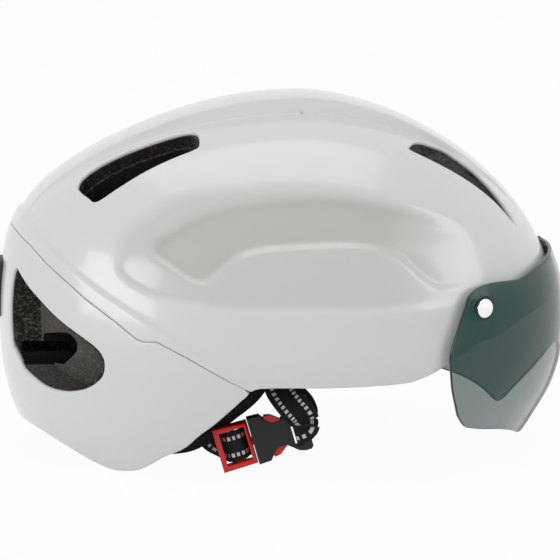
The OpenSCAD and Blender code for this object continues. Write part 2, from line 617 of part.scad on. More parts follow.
module rear_yoke() {
    inner = yoke_edge(-arm_t);
    color([0.1, 0.1, 0.11]) at_band() difference() {
        translate([0, 0, -yoke_h / 2]) linear_extrude(yoke_h)
            polygon(concat(yoke_edge(0), [for (i = [len(inner) - 1:-1:0]) inner[i]]));
        for (side = [-1, 1], i = [0:1]) translate([yoke_bend - 46 - 13 * i, side * 57, 0])
            rotate([0, 0, -side * (50 + 12 * i)]) cube([8, 40, 5], center = true);
    }
}

// Dial box at the middle of the yoke: case, cover, knob, pinion and two racks
case_w = 50;
case_h = 24;
case_d = 9;
case_x = yoke_back + 0.6;
rack_h = 4;
rack_t = 2;
rack_l = 34;
module dial_case() {
    color([0.1, 0.1, 0.11]) at_band() difference() {
        translate([case_x - case_d, -case_w / 2, -case_h / 2]) cube([case_d - fit_gap - 0.6, case_w, case_h]);
        translate([case_x - case_d - 1, -case_w / 2 - 1, -10]) cube([case_d - 1.6, case_w + 2, 20]);
    }
}
module dial_cover() {
    color([0.1, 0.1, 0.11]) at_band() difference() {
        translate([case_x - case_d - 1.8 - fit_gap, -case_w / 2, -case_h / 2]) cube([1.8, case_w, case_h]);
        translate([case_x - case_d - 4, 0, 0]) rotate([0, 90, 0]) cylinder(d = 5 + 2 * run_gap, h = 6, $fn = 48);
    }
}
knob_l = 8;
knob_x = case_x - case_d - 1.8 - 2 * fit_gap;
module dial_knob() {
    color([0.14, 0.14, 0.15]) at_band() translate([knob_x, 0, 0]) rotate([0, -90, 0]) difference() {
        union() {
            cylinder(d = dial_d - 2, h = knob_l, $fn = 48);
            for (i = [0:11]) rotate([0, 0, i * 30]) translate([dial_d / 2 - 1.2, 0, 0])
                cylinder(d = 2.4, h = knob_l - 1, $fn = 10);
        }
        translate([0, 0, knob_l - 2]) cylinder(d = dial_d - 9, h = 3, $fn = 32);
        translate([0, 0, -1]) cylinder(d = 4, h = 4, $fn = 32);
    }
}
pinion_teeth = 10;
tooth_pitch = 2 * PI * pinion_r / pinion_teeth;
rack_mid = case_x - case_d / 2 - 0.4;
module dial_pinion() {
    color([0.75, 0.75, 0.75]) at_band() rotate([0, -90, 0]) translate([0, 0, -rack_mid - 1.6]) {
        cylinder(r = pinion_r - 1, h = 3.2, $fn = 30);
        for (i = [0:pinion_teeth - 1]) rotate([0, 0, 360 * i / pinion_teeth])
            linear_extrude(3.2) polygon([[pinion_r - 1.4, -0.6], [pinion_r + 0.7, -0.3], [pinion_r + 0.7, 0.3], [pinion_r - 1.4, 0.6]]);
        cylinder(d = 5, h = 6.5, $fn = 30);
        cylinder(d = 4 - 2 * run_gap, h = -knob_x + rack_mid + 1.6 + 2.8, $fn = 24);
    }
}
rack_near = pinion_r + 1;
module rack(side) {
    start = side > 0 ? -8 : -rack_l + 8;
    color([0.2, 0.2, 0.2]) at_band() translate([rack_mid - rack_t / 2, 0, 0]) {
        translate([0, start, side > 0 ? rack_near : -rack_near - rack_h + 0.6]) cube([rack_t, rack_l, rack_h - 0.6]);
        for (i = [0:floor(rack_l / tooth_pitch) - 2])
            translate([0, (floor(start / tooth_pitch) + 1.5 + i) * tooth_pitch, side * rack_near])
                rotate([90, 0, 90]) linear_extrude(rack_t)
                    polygon([[-0.6, side * 0.3], [0.6, side * 0.3], [0.25, -side * 1.5], [-0.25, -side * 1.5]]);
    }
}
module nape_pad() {
    nu = 10;
    nv = 5;
    n = nu + 1;
    all = n * (nv + 1);
    function spot(u, v, deep) =
        let (s = 2 * u / nu - 1, w = 2 * v / nv - 1, a = s * 24 * (1 - 0.05 * pow(w, 4)),
            fat = deep ? 0.8 + 5.2 * sqrt(max(1 - pow(abs(s), 4), 0)) * sqrt(max(1 - pow(abs(w), 3), 0)) : 0,
            r = arm_t + 0.4 + fat)
        [yoke_bend - (yoke_bend - yoke_back - r) * cos(a), (yoke_y - r) * sin(a), w * (1 - 0.15 * pow(s, 4)) * 9];
    layers = concat([for (v = [0:nv], u = [0:nu]) spot(u, v, false)], [for (v = [0:nv], u = [0:nu]) spot(u, v, true)]);
    grid = [for (v = [0:nv - 1], u = [0:nu - 1], half = [0:1]) let (a = v * n + u)
        half == 0 ? [a, a + 1, a + n + 1] : [a, a + n + 1, a + n]];
    back = [for (f = grid) [f[2] + all, f[1] + all, f[0] + all]];
    rim = concat([for (u = [0:nu]) u], [for (v = [1:nv]) v * n + nu], [for (u = [nu - 1:-1:0]) nv * n + u],
        [for (v = [nv - 1:-1:1]) v * n]);
    edge = [for (i = [0:len(rim) - 1], half = [0:1]) let (a = rim[i], b = rim[(i + 1) % len(rim)])
        half == 0 ? [b, a, a + all] : [b, a + all, b + all]];
    color([0.08, 0.08, 0.09]) at_band() polyhedron(layers, concat(grid, back, edge), convexity = 4);
}

// Rear light in a pocket of the centre strip, held by its magnet
light_z = 38;
light_out = 3;           // the light stands this far off the strip
light_back = -shell_rear - light_out;
light_lens_t = 2;
light_wall = 1.2;
module light_pocket(gap) {
    translate([-reach, -light_w / 2 - gap, light_z - light_h / 2 - gap])
        cube([reach + light_back + light_d + light_lens_t + seat_t + 2 * fit_gap, light_w + 2 * gap, light_h + 2 * gap]);
}
module light_box(w, h, r) {
    linear_extrude(h) offset(r = r, $fn = 24) square([w[1] - 2 * r, w[0] - 2 * r], center = true);
}
module at_light(deep) {
    translate([light_back + deep, 0, light_z]) rotate([0, 90, 0]) children();
}
module light_case() {
    color([0.1, 0.1, 0.11]) difference() {
        at_light(light_lens_t) light_box([light_w, light_h], light_d, 3);
        at_light(light_lens_t - 1) light_box([light_w - 2 * light_wall, light_h - 2 * light_wall], light_d - light_wall + 1 - magnet_t, 2);
        at_light(light_lens_t + light_d - magnet_t) translate([0, 0, 0]) cylinder(d = magnet_d + run_gap, h = magnet_t + 1, $fn = 32);
        translate([light_back + light_lens_t + 4, -4, light_z - light_h / 2 - 1]) cube([4, 8, light_wall + 2]);
    }
}
button_d = 7;
module light_lens() {
    color([0.6, 0.05, 0.05, 0.8]) difference() {
        at_light(0) light_box([light_w, light_h], light_lens_t - 0.01, 3);
        at_light(-1) translate([light_h / 2 - 7, 0, 0]) cylinder(d = button_d + 2 * fit_gap, h = light_lens_t + 2, $fn = 48);
    }
}
module light_button() {
    color([0.1, 0.1, 0.11]) at_light(-0.3) translate([light_h / 2 - 7, 0, 0]) cylinder(d = button_d, h = light_lens_t + 0.6, $fn = 48);
}
board_deep = light_lens_t + 3.6;
module light_board() {
    color("green") at_light(board_deep) light_box([light_w - 2 * light_wall - 1, light_h - 2 * light_wall - 1], 1, 1.5);
}
module light_battery() {
    color("silver") at_light(board_deep + 1 + fit_gap) translate([-8, -8, 0]) cube([16, 16, 3.6]);
}
module light_leds() {
    color("lightyellow") for (side = [-1, 1]) at_light(board_deep - 2.2 - 0.05) translate([-6, side * 5, 0]) {
        cylinder(d = 4, h = 2.2, $fn = 32);
    }
}
module light_magnet() {
    color("dimgray") at_light(light_lens_t + light_d - magnet_t) cylinder(d = magnet_d, h = magnet_t, $fn = 32);
}
module light_seat() {
    color("gray") at_light(light_lens_t + light_d + fit_gap) light_box([light_w - 6, light_h - 8], seat_t, 2);
}
module light_port_cover() {
    color([0.1, 0.1, 0.1]) translate([light_back + light_lens_t + 4 + 0.1, -3.9, light_z - light_h / 2 - 0.2]) cube([3.8, 7.8, light_wall + 0.4]);
}

upper_shell();
lower_shell();
upper_liner();
lower_liner();
brow_pad();
crown_pad(-1);  // crown_pad_right
crown_pad(1);  // crown_pad_left
side_pad(-1);  // side_pad_right
side_pad(1);  // side_pad_left
nape_pad();
pad_hooks();
visor_lens();
visor_tab();
visor_studs();
visor_magnets();
visor_seats();
front_strap(-1);  // front_strap_right
front_strap(1);  // front_strap_left
rear_strap(-1);  // rear_strap_right
rear_strap(1);  // rear_strap_left
buckle_strap();
chin_strap();
strap_divider(-1);  // strap_divider_right
strap_divider(1);  // strap_divider_left
strap_anchors();
strap_keeper();
buckle_socket();
buckle_clip();
prong(1);  // upper_prong
prong(-1);  // lower_prong
temple_pins();
arm(-1);  // right_arm
arm(1);  // left_arm
rear_yoke();
dial_case();
dial_cover();
dial_knob();
dial_pinion();
rack(1);  // upper_rack
rack(-1);  // lower_rack
light_case();
light_lens();
light_button();
light_board();
light_battery();
light_leds();
light_magnet();
light_seat();
light_port_cover();
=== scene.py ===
import math
import bmesh
import bpy
import numpy as np
from mathutils import Matrix, Vector
from mathutils.kdtree import KDTree


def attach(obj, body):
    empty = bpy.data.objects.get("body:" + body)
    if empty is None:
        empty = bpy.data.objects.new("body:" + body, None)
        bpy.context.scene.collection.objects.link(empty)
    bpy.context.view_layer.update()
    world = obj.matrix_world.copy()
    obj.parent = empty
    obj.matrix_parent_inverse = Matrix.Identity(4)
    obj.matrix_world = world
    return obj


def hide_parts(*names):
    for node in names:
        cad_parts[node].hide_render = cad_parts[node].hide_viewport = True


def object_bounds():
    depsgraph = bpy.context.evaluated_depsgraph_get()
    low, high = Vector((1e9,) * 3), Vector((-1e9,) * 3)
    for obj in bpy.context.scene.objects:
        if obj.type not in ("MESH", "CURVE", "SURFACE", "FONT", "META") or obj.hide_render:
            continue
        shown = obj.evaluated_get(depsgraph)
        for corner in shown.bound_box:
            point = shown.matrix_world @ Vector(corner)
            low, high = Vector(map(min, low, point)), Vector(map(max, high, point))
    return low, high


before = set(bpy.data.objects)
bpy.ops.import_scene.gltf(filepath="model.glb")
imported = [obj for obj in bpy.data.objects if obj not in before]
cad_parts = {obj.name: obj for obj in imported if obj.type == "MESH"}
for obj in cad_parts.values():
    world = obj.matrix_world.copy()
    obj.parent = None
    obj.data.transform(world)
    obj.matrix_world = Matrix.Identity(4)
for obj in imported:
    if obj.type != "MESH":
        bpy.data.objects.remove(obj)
cad_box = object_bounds()

# Lengths in this script are in millimetres, and MM turns them into metres where they go into a mesh, a material or
# the camera. The stage and the lamps are placed in metres.
MM = 0.001


def add(name, data):
    """New object in the scene, from its data."""
    thing = bpy.data.objects.new(name, data)
    bpy.context.scene.collection.objects.link(thing)
    return thing


# The camera looks at the helmet's right side, a little from behind and from above
view_turn = math.radians(-4)
view_rise = math.radians(9.5)
view_distance = 1500
picture_width = 280
to_right = Vector((math.cos(view_turn), math.sin(view_turn), 0))
to_camera = Vector((math.sin(view_turn) * math.cos(view_rise), -math.cos(view_turn) * math.cos(view_rise),
                    math.sin(view_rise)))
upwards = to_camera.cross(to_right)
looked_at = to_right * 3 + upwards * 38.6
camera = add("camera", bpy.data.cameras.new("camera"))
camera.data.lens = camera.data.sensor_width * view_distance / picture_width
camera.data.clip_end = 50
camera.matrix_world = Matrix.Translation((looked_at + to_camera * view_distance) * MM) @ Matrix(
    (to_right, upwards, to_camera)).transposed().to_4x4()
bpy.context.scene.camera = camera


# Materials are built from nodes. A Wire is one output of a node, and a Finish is one material.
def joined(operation, swapped=False):
    """A method of Wire: a Math node whose first value is the wire or, swapped, whose last is."""
    def method(wire, *other):
        values = (*other, wire) if swapped else (wire, *other)
        return wire.finish.node("ShaderNodeMath", {"operation": operation}, dict(enumerate(values)))
    return method


class Wire:
    """A node's output, which is added, multiplied and compared as a number is."""
    __add__, __radd__ = joined("ADD"), joined("ADD", True)
    __sub__, __rsub__ = joined("SUBTRACT"), joined("SUBTRACT", True)
    __mul__, __rmul__ = joined("MULTIPLY"), joined("MULTIPLY", True)
    __truediv__, __mod__ = joined("DIVIDE"), joined("FLOORED_MODULO")
    __lt__, __gt__, __abs__ = joined("LESS_THAN"), joined("GREATER_THAN"), joined("ABSOLUTE")

    def __init__(self, finish, socket):
        self.finish = finish
        self.socket = socket


class Finish:
    """A material with one Principled shader, and a slot name that it keeps. Its patterns read the piece's Object
    coordinates or its UV map."""

    def __init__(self, name, colour, roughness, slot=None, **sockets):
        self.slot = slot or name
        self.material = bpy.data.materials.new(name)
        self.material.use_nodes = True
        self.tree = self.material.node_tree
        self.shader = self.tree.nodes["Principled BSDF"]
        self.set("Base Color", (*colour, 1))
        self.set("Roughness", roughness)
        for socket, value in sockets.items():
            self.set(socket.replace("_", " "), value)

    def set(self, socket, value):
        if isinstance(value, Wire):
            self.tree.links.new(value.socket, self.shader.inputs[socket])
        else:
            self.shader.inputs[socket].default_value = value

    def node(self, kind, settings, inputs, output=0):
        new = self.tree.nodes.new(kind)
        for name, value in settings.items():
            if name == "stops":
                while len(new.color_ramp.elements) < len(value):
                    new.color_ramp.elements.new(1)
                for stop, (place, colour) in zip(new.color_ramp.elements, value):
                    stop.position = place
                    stop.color = (*colour, 1)
            else:
                setattr(new, name, value)
        for name, value in inputs.items():
            if isinstance(value, Wire):
                self.tree.links.new(value.socket, new.inputs[name])
            else:
                new.inputs[name].default_value = value
        return Wire(self, new.outputs[output])

    def place(self):
        return self.node("ShaderNodeTexCoord", {}, {}, "Object")

    def attribute(self, name):
        return self.node("ShaderNodeAttribute", {"attribute_name": name}, {}, "Fac")

    def cells(self, scale, randomness=1, output="Distance", distance="EUCLIDEAN"):
        """Cell pattern with scale cells in a metre: the distance to a cell's middle, or each cell's own colour."""
        return self.node("ShaderNodeTexVoronoi", {"distance": distance},
                         {"Vector": self.place(), "Scale": scale, "Randomness": randomness}, output)

    def grain(self, scale, detail=2, stretch=(1, 1, 1)):
        """Cloudy noise with about scale spots in a metre, between 0 and 1."""
        spread = self.node("ShaderNodeMapping", {}, {0: self.place(), "Scale": stretch})
        return self.node("ShaderNodeTexNoise", {}, {"Vector": spread, "Scale": scale, "Detail": detail})

    def mix(self, share, first, second):
        """Colour between two colours or wires: the first where share is 0, the second where it is 1."""
        first, second = (value if isinstance(value, Wire) else (*value, 1) for value in (first, second))
        return self.node("ShaderNodeMix", {"data_type": "RGBA"}, {0: share, 6: first, 7: second}, 2)

    def bump(self, height, depth, strength=1):
        """Roughens the surface: height from 0 to 1 stands for depth in millimetres."""
        self.set("Normal", self.node("ShaderNodeBump", {}, {"Height": height, "Distance": depth * MM,
                                                             "Strength": strength}))

    def vary(self, rough=None, tones=None, relief=None):
        """Grain over the finish: rough is (lowest, spread, *grain), tones is (scale, detail, dark, light) and relief
        is (scale, detail, depth, strength)."""
        if rough:
            self.set("Roughness", rough[0] + rough[1] * self.grain(*rough[2:]))
        if tones:
            self.set("Base Color", self.mix(self.grain(*tones[:2]), *tones[2:]))
        if relief:
            self.bump(self.grain(*relief[:2]), *relief[2:])
        return self


# Floor, backdrop and light: a pale studio sweep with one wide soft lamp overhead, one from the front and one from
# the rear. The sweep shows as plain white, with the helmet's faint shadow on it.
stage_low = cad_box[0][2] - 0.0005
sweep_line = np.array([[-4, 0], [2.6, 0], [3.2, 0.05], [3.7, 0.2], [4.05, 0.5], [4.3, 1.0], [4.3, 5]])
sweep_mesh = bpy.data.meshes.new("sweep")
sweep_mesh.from_pydata([(x, y, stage_low + z) for x in (-5.5, 5.5) for y, z in sweep_line], [],
                       [(k, k + 7, k + 8, k + 1) for k in range(6)])
sweep = add("sweep", sweep_mesh)
white_paper = Finish("white_paper", (0.86, 0.86, 0.86), 0.8)
seen, mirrored, through_glass = (white_paper.node("ShaderNodeLightPath", {}, {}, f"Is {kind} Ray")
                                 for kind in ("Camera", "Glossy", "Transmission"))


def blend(tree, share, first, second, output):
    """Ends a node tree with a mix of two shaders: the first where share is 0, the second where it is 1."""
    both = tree.nodes.new("ShaderNodeMixShader")
    for place, socket in enumerate((share, first, second)):
        tree.links.new(socket, both.inputs[place])
    tree.links.new(both.outputs[0], tree.nodes[output].inputs[0])


blend(white_paper.tree, ((seen + mirrored + through_glass) * 0.965).socket, white_paper.shader.outputs[0],
      white_paper.tree.nodes.new("ShaderNodeEmission").outputs[0], "Material Output")
sweep.data.materials.append(white_paper.material)

world = bpy.data.worlds.new("studio")
world.use_nodes = True
bpy.context.scene.world = world
studio = world.node_tree
ray = studio.nodes.new("ShaderNodeLightPath")
plain_white = studio.nodes.new("ShaderNodeBackground")
plain_white.inputs["Color"].default_value = (1, 1, 1, 1)
soft_grey = studio.nodes["Background"]
soft_grey.inputs["Color"].default_value = (0.34, 0.345, 0.35, 1)
white_share = ray.outputs["Is Camera Ray"]
for kind in ("Is Glossy Ray", "Is Transmission Ray"):
    either = studio.nodes.new("ShaderNodeMath")
    either.operation = "MAXIMUM"
    studio.links.new(white_share, either.inputs[0])
    studio.links.new(ray.outputs[kind], either.inputs[1])
    white_share = either.outputs[0]
blend(studio, white_share, soft_grey.outputs[0], plain_white.outputs[0], "World Output")
bpy.context.scene.view_settings.view_transform = "Standard"


def add_lamp(name, place, size, watts):
    """Square area lamp at a place in metres, turned to face the helmet."""
    lamp = add(name, bpy.data.lights.new(name, "AREA"))
    lamp.data.size = size
    lamp.data.energy = watts
    lamp.location = place
    lamp.rotation_euler = (Vector((0, 0, 0.04)) - Vector(place)).to_track_quat("-Z", "Y").to_euler()


add_lamp("overhead_lamp", (0.0, 0.1, 1.5), 1.4, 6.8)
add_lamp("front_lamp", (1.3, -0.8, 0.6), 0.9, 5.4)
add_lamp("rear_lamp", (-1.3, -0.9, 0.2), 0.9, 9.2)


# Upper and lower shell: two thin glossy white mouldings over the foam, parted at the slanted seam. The upper one has
# the raised centre band, the scooped recess and crease lines on its sides, and the vents beside the band. The lower
# one is the skirt round the back of the head, with a large vent on each side. Every opening has a rolled edge.
def flow(rows, at):
    """Smooth curve through (place, value) rows: cubic pieces, each row's slope taken from its two neighbours."""
    places, values = np.array(rows, float).T
    slopes = np.empty_like(values)
    slopes[1:-1] = (values[2:] - values[:-2]) / (places[2:] - places[:-2])
    slopes[0] = (values[1] - values[0]) / (places[1] - places[0])
    slopes[-1] = (values[-1] - values[-2]) / (places[-1] - places[-2])
    k = np.clip(np.searchsorted(places, at, side="right") - 1, 0, len(places) - 2)
    step = places[k + 1] - places[k]
    t = np.clip((at - places[k]) / step, 0, 1)
    return ((2 * t**3 - 3 * t**2 + 1) * values[k] + (t**3 - 2 * t**2 + t) * step * slopes[k]
            + (3 * t**2 - 2 * t**3) * values[k + 1] + (t**3 - t**2) * step * slopes[k + 1])


def ease(share):
    """Smooth step: 0 below 0, 1 above 1, flat at both ends."""
    share = np.clip(share, 0, 1)
    return share * share * (3 - 2 * share)


def curve_round(points, steps=5, closed=True):
    """Smooth line through points: Catmull-Rom pieces with a number of steps each."""
    points = np.array(points, float)
    if closed:
        near = [np.roll(points, k, axis=0) for k in (1, 0, -1, -2)]
    else:
        padded = np.vstack([2 * points[0] - points[1], points, 2 * points[-1] - points[-2]])
        near = [padded[k:len(padded) - 3 + k] for k in range(4)]
    t = (np.arange(steps) / steps)[None, :, None]
    a, b, c, d = (part[:, None, :] for part in near)
    line = 0.5 * (2 * b + (c - a) * t + (2 * a - 5 * b + 4 * c - d) * t**2 + (3 * b - a - 3 * c + d) * t**3)
    line = line.reshape(-1, points.shape[1])
    return line if closed else np.vstack([line, points[-1]])


def how_deep(line, across, up, closed=True):
    """Distance to a line in a flat view: above 0 inside a closed line, or over an open one."""
    across, up = np.asarray(across, float), np.asarray(up, float)
    ends = np.roll(line, -1, axis=0) if closed else line[1:]
    starts = line if closed else line[:-1]
    best = np.full(across.shape, 1e9)
    inside = np.zeros(across.shape, bool)
    for (ax, ay), (bx, by) in zip(starts, ends):
        dx, dy = bx - ax, by - ay
        t = np.clip(((across - ax) * dx + (up - ay) * dy) / max(dx * dx + dy * dy, 1e-12), 0, 1)
        best = np.minimum(best, np.hypot(across - ax - t * dx, up - ay - t * dy))
        inside ^= ((ay > up) != (by > up)) & (across < ax + (up - ay) * dx / (dy if dy else 1e-12))
    if not closed:
        ordered = line[np.argsort(line[:, 0])]
        inside = up > np.interp(across, ordered[:, 0], ordered[:, 1])
    return np.where(inside, best, -best)


# The dome's form: how far it reaches back, forward and to the side of the crown at each height
crown_x = 12
crown_z = 134
rear_length = 147
front_length = 126
front_level = 35
shell_half = 104
side_level = 20
shell_foot = -50
plan_power = 2.1
side_power = 2.2
front_power = 1.75
rear_rows = [(math.sqrt(share), reach) for share, reach in (
    (0, 0), (0.034, 0.285), (0.12, 0.53), (0.24, 0.75), (0.35, 0.88), (0.49, 0.963), (0.66, 0.993), (0.85, 1),
    (1, 0.99), (1.15, 0.956), (1.26, 0.9), (1.4, 0.8))]


def rear_reach(z):
    return rear_length * flow(rear_rows, np.sqrt(np.clip((crown_z - z) / crown_z, 0, None)))


def front_reach(z):
    high = np.clip((z - front_level) / (crown_z - front_level), 0, 1)
    return np.where(z > front_level, front_length * (1 - high**front_power)**(1 / front_power),
                    front_length - 0.004 * (front_level - z)**2)


def half_width(z):
    high = np.clip((z - side_level) / (crown_z - side_level), 0, 1)
    return np.where(z > side_level, shell_half * (1 - high**side_power)**(1 / side_power),
                    shell_half - np.log1p(np.exp((12 - z) / 3)))


def peak_z(y):
    return side_level + (crown_z - side_level) * (1 - (np.abs(y) / shell_half)**side_power)**(1 / side_power)


band_edge = 24.0
band_columns = np.array([0, 3, 6, 9, 12, 14.5, 16.5, 18, 19, 19.7, 20.2, 20.6, 20.9, 21.2, 21.5, 21.8, 22.2, 22.8,
                         23.4, 24])
shell_rows = 168
side_columns = 250
crown_rows = 4
crown_squeeze = 3.8
fine_z = np.linspace(float(peak_z(band_edge)), shell_foot, 4000)
outward_step = np.hypot(np.diff(half_width(fine_z)), np.diff(rear_reach(fine_z)))
outward_weight = 0.7
walked = np.concatenate([[0], np.cumsum(np.hypot(np.diff(fine_z), outward_step * outward_weight))])
row_at = np.arange(shell_rows + 1) - crown_squeeze * (1 - np.exp(-np.arange(shell_rows + 1) / crown_rows))
row_z = np.interp(row_at / row_at[-1] * walked[-1], walked, fine_z)
row_share = (row_z[0] - row_z) / (row_z[0] - shell_foot)

# One grid for the right half: centre to band edge at the front, round the side, and band edge to centre at the rear
band_z = peak_z(band_columns)[None, :] - row_share[:, None] * (peak_z(band_columns)[None, :] - shell_foot)
band_share = np.clip(band_columns[None, :] / np.maximum(half_width(band_z), 1e-6), 0, 1)
band_round = (1 - band_share**plan_power)**(1 / plan_power)
band_round[0] = 0
front_band_x = crown_x + front_reach(band_z) * band_round
rear_band_x = crown_x - rear_reach(band_z) * band_round
first_turn = np.arcsin(np.clip(band_edge / half_width(row_z), 0, 1)**(plan_power / 2))
first_turn[0] = math.pi / 2
turns = first_turn[:, None] + (math.pi - 2 * first_turn[:, None]) * np.linspace(0, 1, side_columns)[None, :]
# The small rows at the crown have fewer points: each point joins the first of its group
for row, group in enumerate((48, 32, 24, 16, 12, 8, 8, 4, 4, 4), 1):
    turns[row] = turns[row][np.minimum((np.arange(side_columns) + group // 2) // group * group, side_columns - 1)]
side_z = np.repeat(row_z[:, None], side_columns, axis=1)
side_reach = np.where(turns < math.pi / 2, front_reach(side_z), rear_reach(side_z))
side_x = crown_x + side_reach * np.sign(np.cos(turns)) * np.abs(np.cos(turns))**(2 / plan_power)
side_y = half_width(side_z) * np.sin(turns)**(2 / plan_power)
grid_x = np.hstack([front_band_x[:, :-1], side_x, rear_band_x[:, ::-1][:, 1:]])
grid_y = -np.hstack([np.repeat(band_columns[None, :-1], shell_rows + 1, axis=0), side_y,
                     np.repeat(band_columns[::-1][None, 1:], shell_rows + 1, axis=0)])
grid_z = np.hstack([band_z[:, :-1], side_z, band_z[:, ::-1][:, 1:]])
# The centre band stands out: beside it the dome is lower, by most at the crown
band_rise = 8
band_half = 22.0
band_wall = 1.7
band_low = 60
high = np.clip(grid_z - band_low, 0, None) / (crown_z - band_low)
grid_z = grid_z - band_rise * high**2 * (1 - ease((band_half - np.abs(grid_y)) / band_wall))


def outward(grid):
    """Unit normals of a grid of points, from the differences between its neighbours."""
    down = np.gradient(grid, axis=0)
    along = np.gradient(grid, axis=1)
    normal = np.cross(along, down)
    length = np.linalg.norm(normal, axis=2, keepdims=True)
    return np.where(length > 1e-9, normal / np.maximum(length, 1e-9), (0, 0, 1))


scoop_top = curve_round([
    (-66, 66), (-66, 71), (-64, 75), (-54, 81), (-40, 88), (-21, 93), (2, 95.5), (26, 95.5), (45, 92), (59, 88),
    (74, 83), (89, 76), (101, 68), (114, 56)], 4, False)
scoop_low = curve_round([
    (-66, 66), (-59, 62), (-50, 56), (-44, 53), (-40, 52.5), (-36, 54), (-29, 60), (-22, 65), (-15, 67.5), (-4, 69),
    (20, 70), (38, 69), (48, 66), (54, 63), (62, 55), (70, 49), (74, 48), (84, 48.8), (100, 51), (114, 56)], 4, False)
shoulder_top = curve_round([
    (-83, 64), (-80, 76), (-64.5, 89), (-47, 97), (-22, 100), (6, 101), (34, 98), (60, 91), (79, 80), (100, 66),
    (112, 55)], 4, False)
shoulder_low = curve_round([
    (-83, 64), (-78, 54), (-63, 46), (-41, 43), (-33, 41), (5, 41), (38, 40), (70, 41), (100, 44),
    (112, 55)], 4, False)
crease_line = np.array([
    (-170, 100), (-140, 88), (-121, 74), (-107, 63), (-100, 57), (-87, 48), (-72, 39), (-56, 30), (-41, 20),
    (-26, 10), (-19, 5), (10, -16), (40, -40)], float)
def recess(low, top, low_soft, top_soft, x, z):
    """Share of the full depth inside two lines that meet at their ends: it eases in from each line."""
    inside = how_deep(np.vstack([low, top[::-1][1:-1]]), x, z) > 0
    from_low = np.abs(how_deep(low, x, z, False))
    from_top = np.abs(how_deep(top, x, z, False))
    return inside * ease(from_low / low_soft) * ease(from_top / top_soft)


def in_scoop(x, y, z):
    """Share of the scoop's depth, on the sides only."""
    return recess(scoop_low, scoop_top, 3.2, 7, x, z) * (np.abs(y) > 26)


def in_shoulder(x, y, z):
    """Share of the depth of the shallow shoulder round the scoop."""
    return recess(shoulder_low, shoulder_top, 3.5, 10, x, z) * (np.abs(y) > 26)


scoop_depth = 3.0
shoulder_depth = 1.4
crease_height = 1.3
crease_width = 1.8
base_grid = np.stack([grid_x, grid_y, grid_z], axis=2)
raised = (-scoop_depth * in_scoop(grid_x, grid_y, grid_z) * ease((99 - grid_x) / 45)
          - shoulder_depth * in_shoulder(grid_x, grid_y, grid_z) * ease((95 - grid_x) / 50)
          + crease_height * ease(0.5 - how_deep(crease_line, grid_x, grid_z, False) / crease_width))
shell_grid = base_grid + outward(base_grid) * raised[:, :, None]
shell_out = outward(shell_grid)
shell_out[:, (0, -1), 1] = 0
rim_line = np.vstack([[(175, 43)], curve_round([
    (150, 36), (120, 30), (105, 24), (92, 21), (85, 17), (78, 14), (72, 10), (62, 6), (52, 4.5), (20, 4), (-13, 4),
    (-20, 0), (-25, -5), (-34, -14), (-41, -20), (-48, -27), (-57, -32), (-64, -37), (-71, -41), (-81, -42),
    (-88, -40), (-95, -37), (-107, -31), (-119, -26), (-145, -20)], 4, False), [(-175, -13)]])
seam_line = np.array([
    (-190, 101), (-145, 77.5), (-127, 69), (-119, 64), (-111, 57), (-103, 51), (-95, 44.5), (-87, 39), (-79, 33.5),
    (-72, 28), (-69.5, 26.3), (-67, 25.5), (-64, 25.7), (-61, 26), (-57, 24), (-47, 19), (-38, 14), (-29, 9),
    (-23, 6), (-12, 0), (12, -14)], float)
back_vent = curve_round([
    (-97, 38), (-94.5, 33), (-87, 29.5), (-74, 27.5), (-60, 27), (-48, 27.2), (-42, 29.5), (-39.3, 35), (-39.2, 46),
    (-42, 49), (-50, 50.5), (-64, 53), (-78, 55.6), (-88, 55.8), (-92.5, 50), (-96, 43)])
front_vent = curve_round([
    (62.5, 43.4), (63.8, 39), (66.5, 32), (70.5, 26.6), (76, 23.6), (82, 23), (88, 23.6), (95, 26), (104, 32),
    (111, 38), (114.5, 41), (110, 41.9), (104, 42), (94, 43), (80, 44.4), (70, 44.6)])
rear_vent = curve_round([
    (33, 52), (38, 49.5), (46, 44.5), (54, 39.5), (64, 32), (72, 26), (77, 21.3), (79, 17), (79, 12), (77, 6.6),
    (73, 2), (69, -0.8), (64, -2.6), (59, -3), (53, -2), (47, 1), (41, 4.4), (38, 9), (34.5, 12.5), (32, 15),
    (31, 22), (30.3, 30), (30.4, 41), (31, 48)])
tab_z = 53.5
tab_x = crown_x + float(front_reach(tab_z)) + 0.5 + 1.6 / math.cos(math.radians(21))
light_pocket = np.array([
    (-12.6, 26.2), (-11.8, 24.2), (-9.8, 23.4), (9.8, 23.4), (11.8, 24.2), (12.6, 26.2), (12.6, 49.8), (11.8, 51.8),
    (9.8, 52.6), (-9.8, 52.6), (-11.8, 51.8), (-12.6, 49.8)])
seam_gap = 0.12
lip_drop = 0.6
lip_reach = 1.3
turned_back = 2.2
magnet_hole = 5.65
stud_x, stud_y, stud_z = 93.7, 87, 39
stud_lean = 0.53, 0.848
tab_lean = 0.934, 0.358


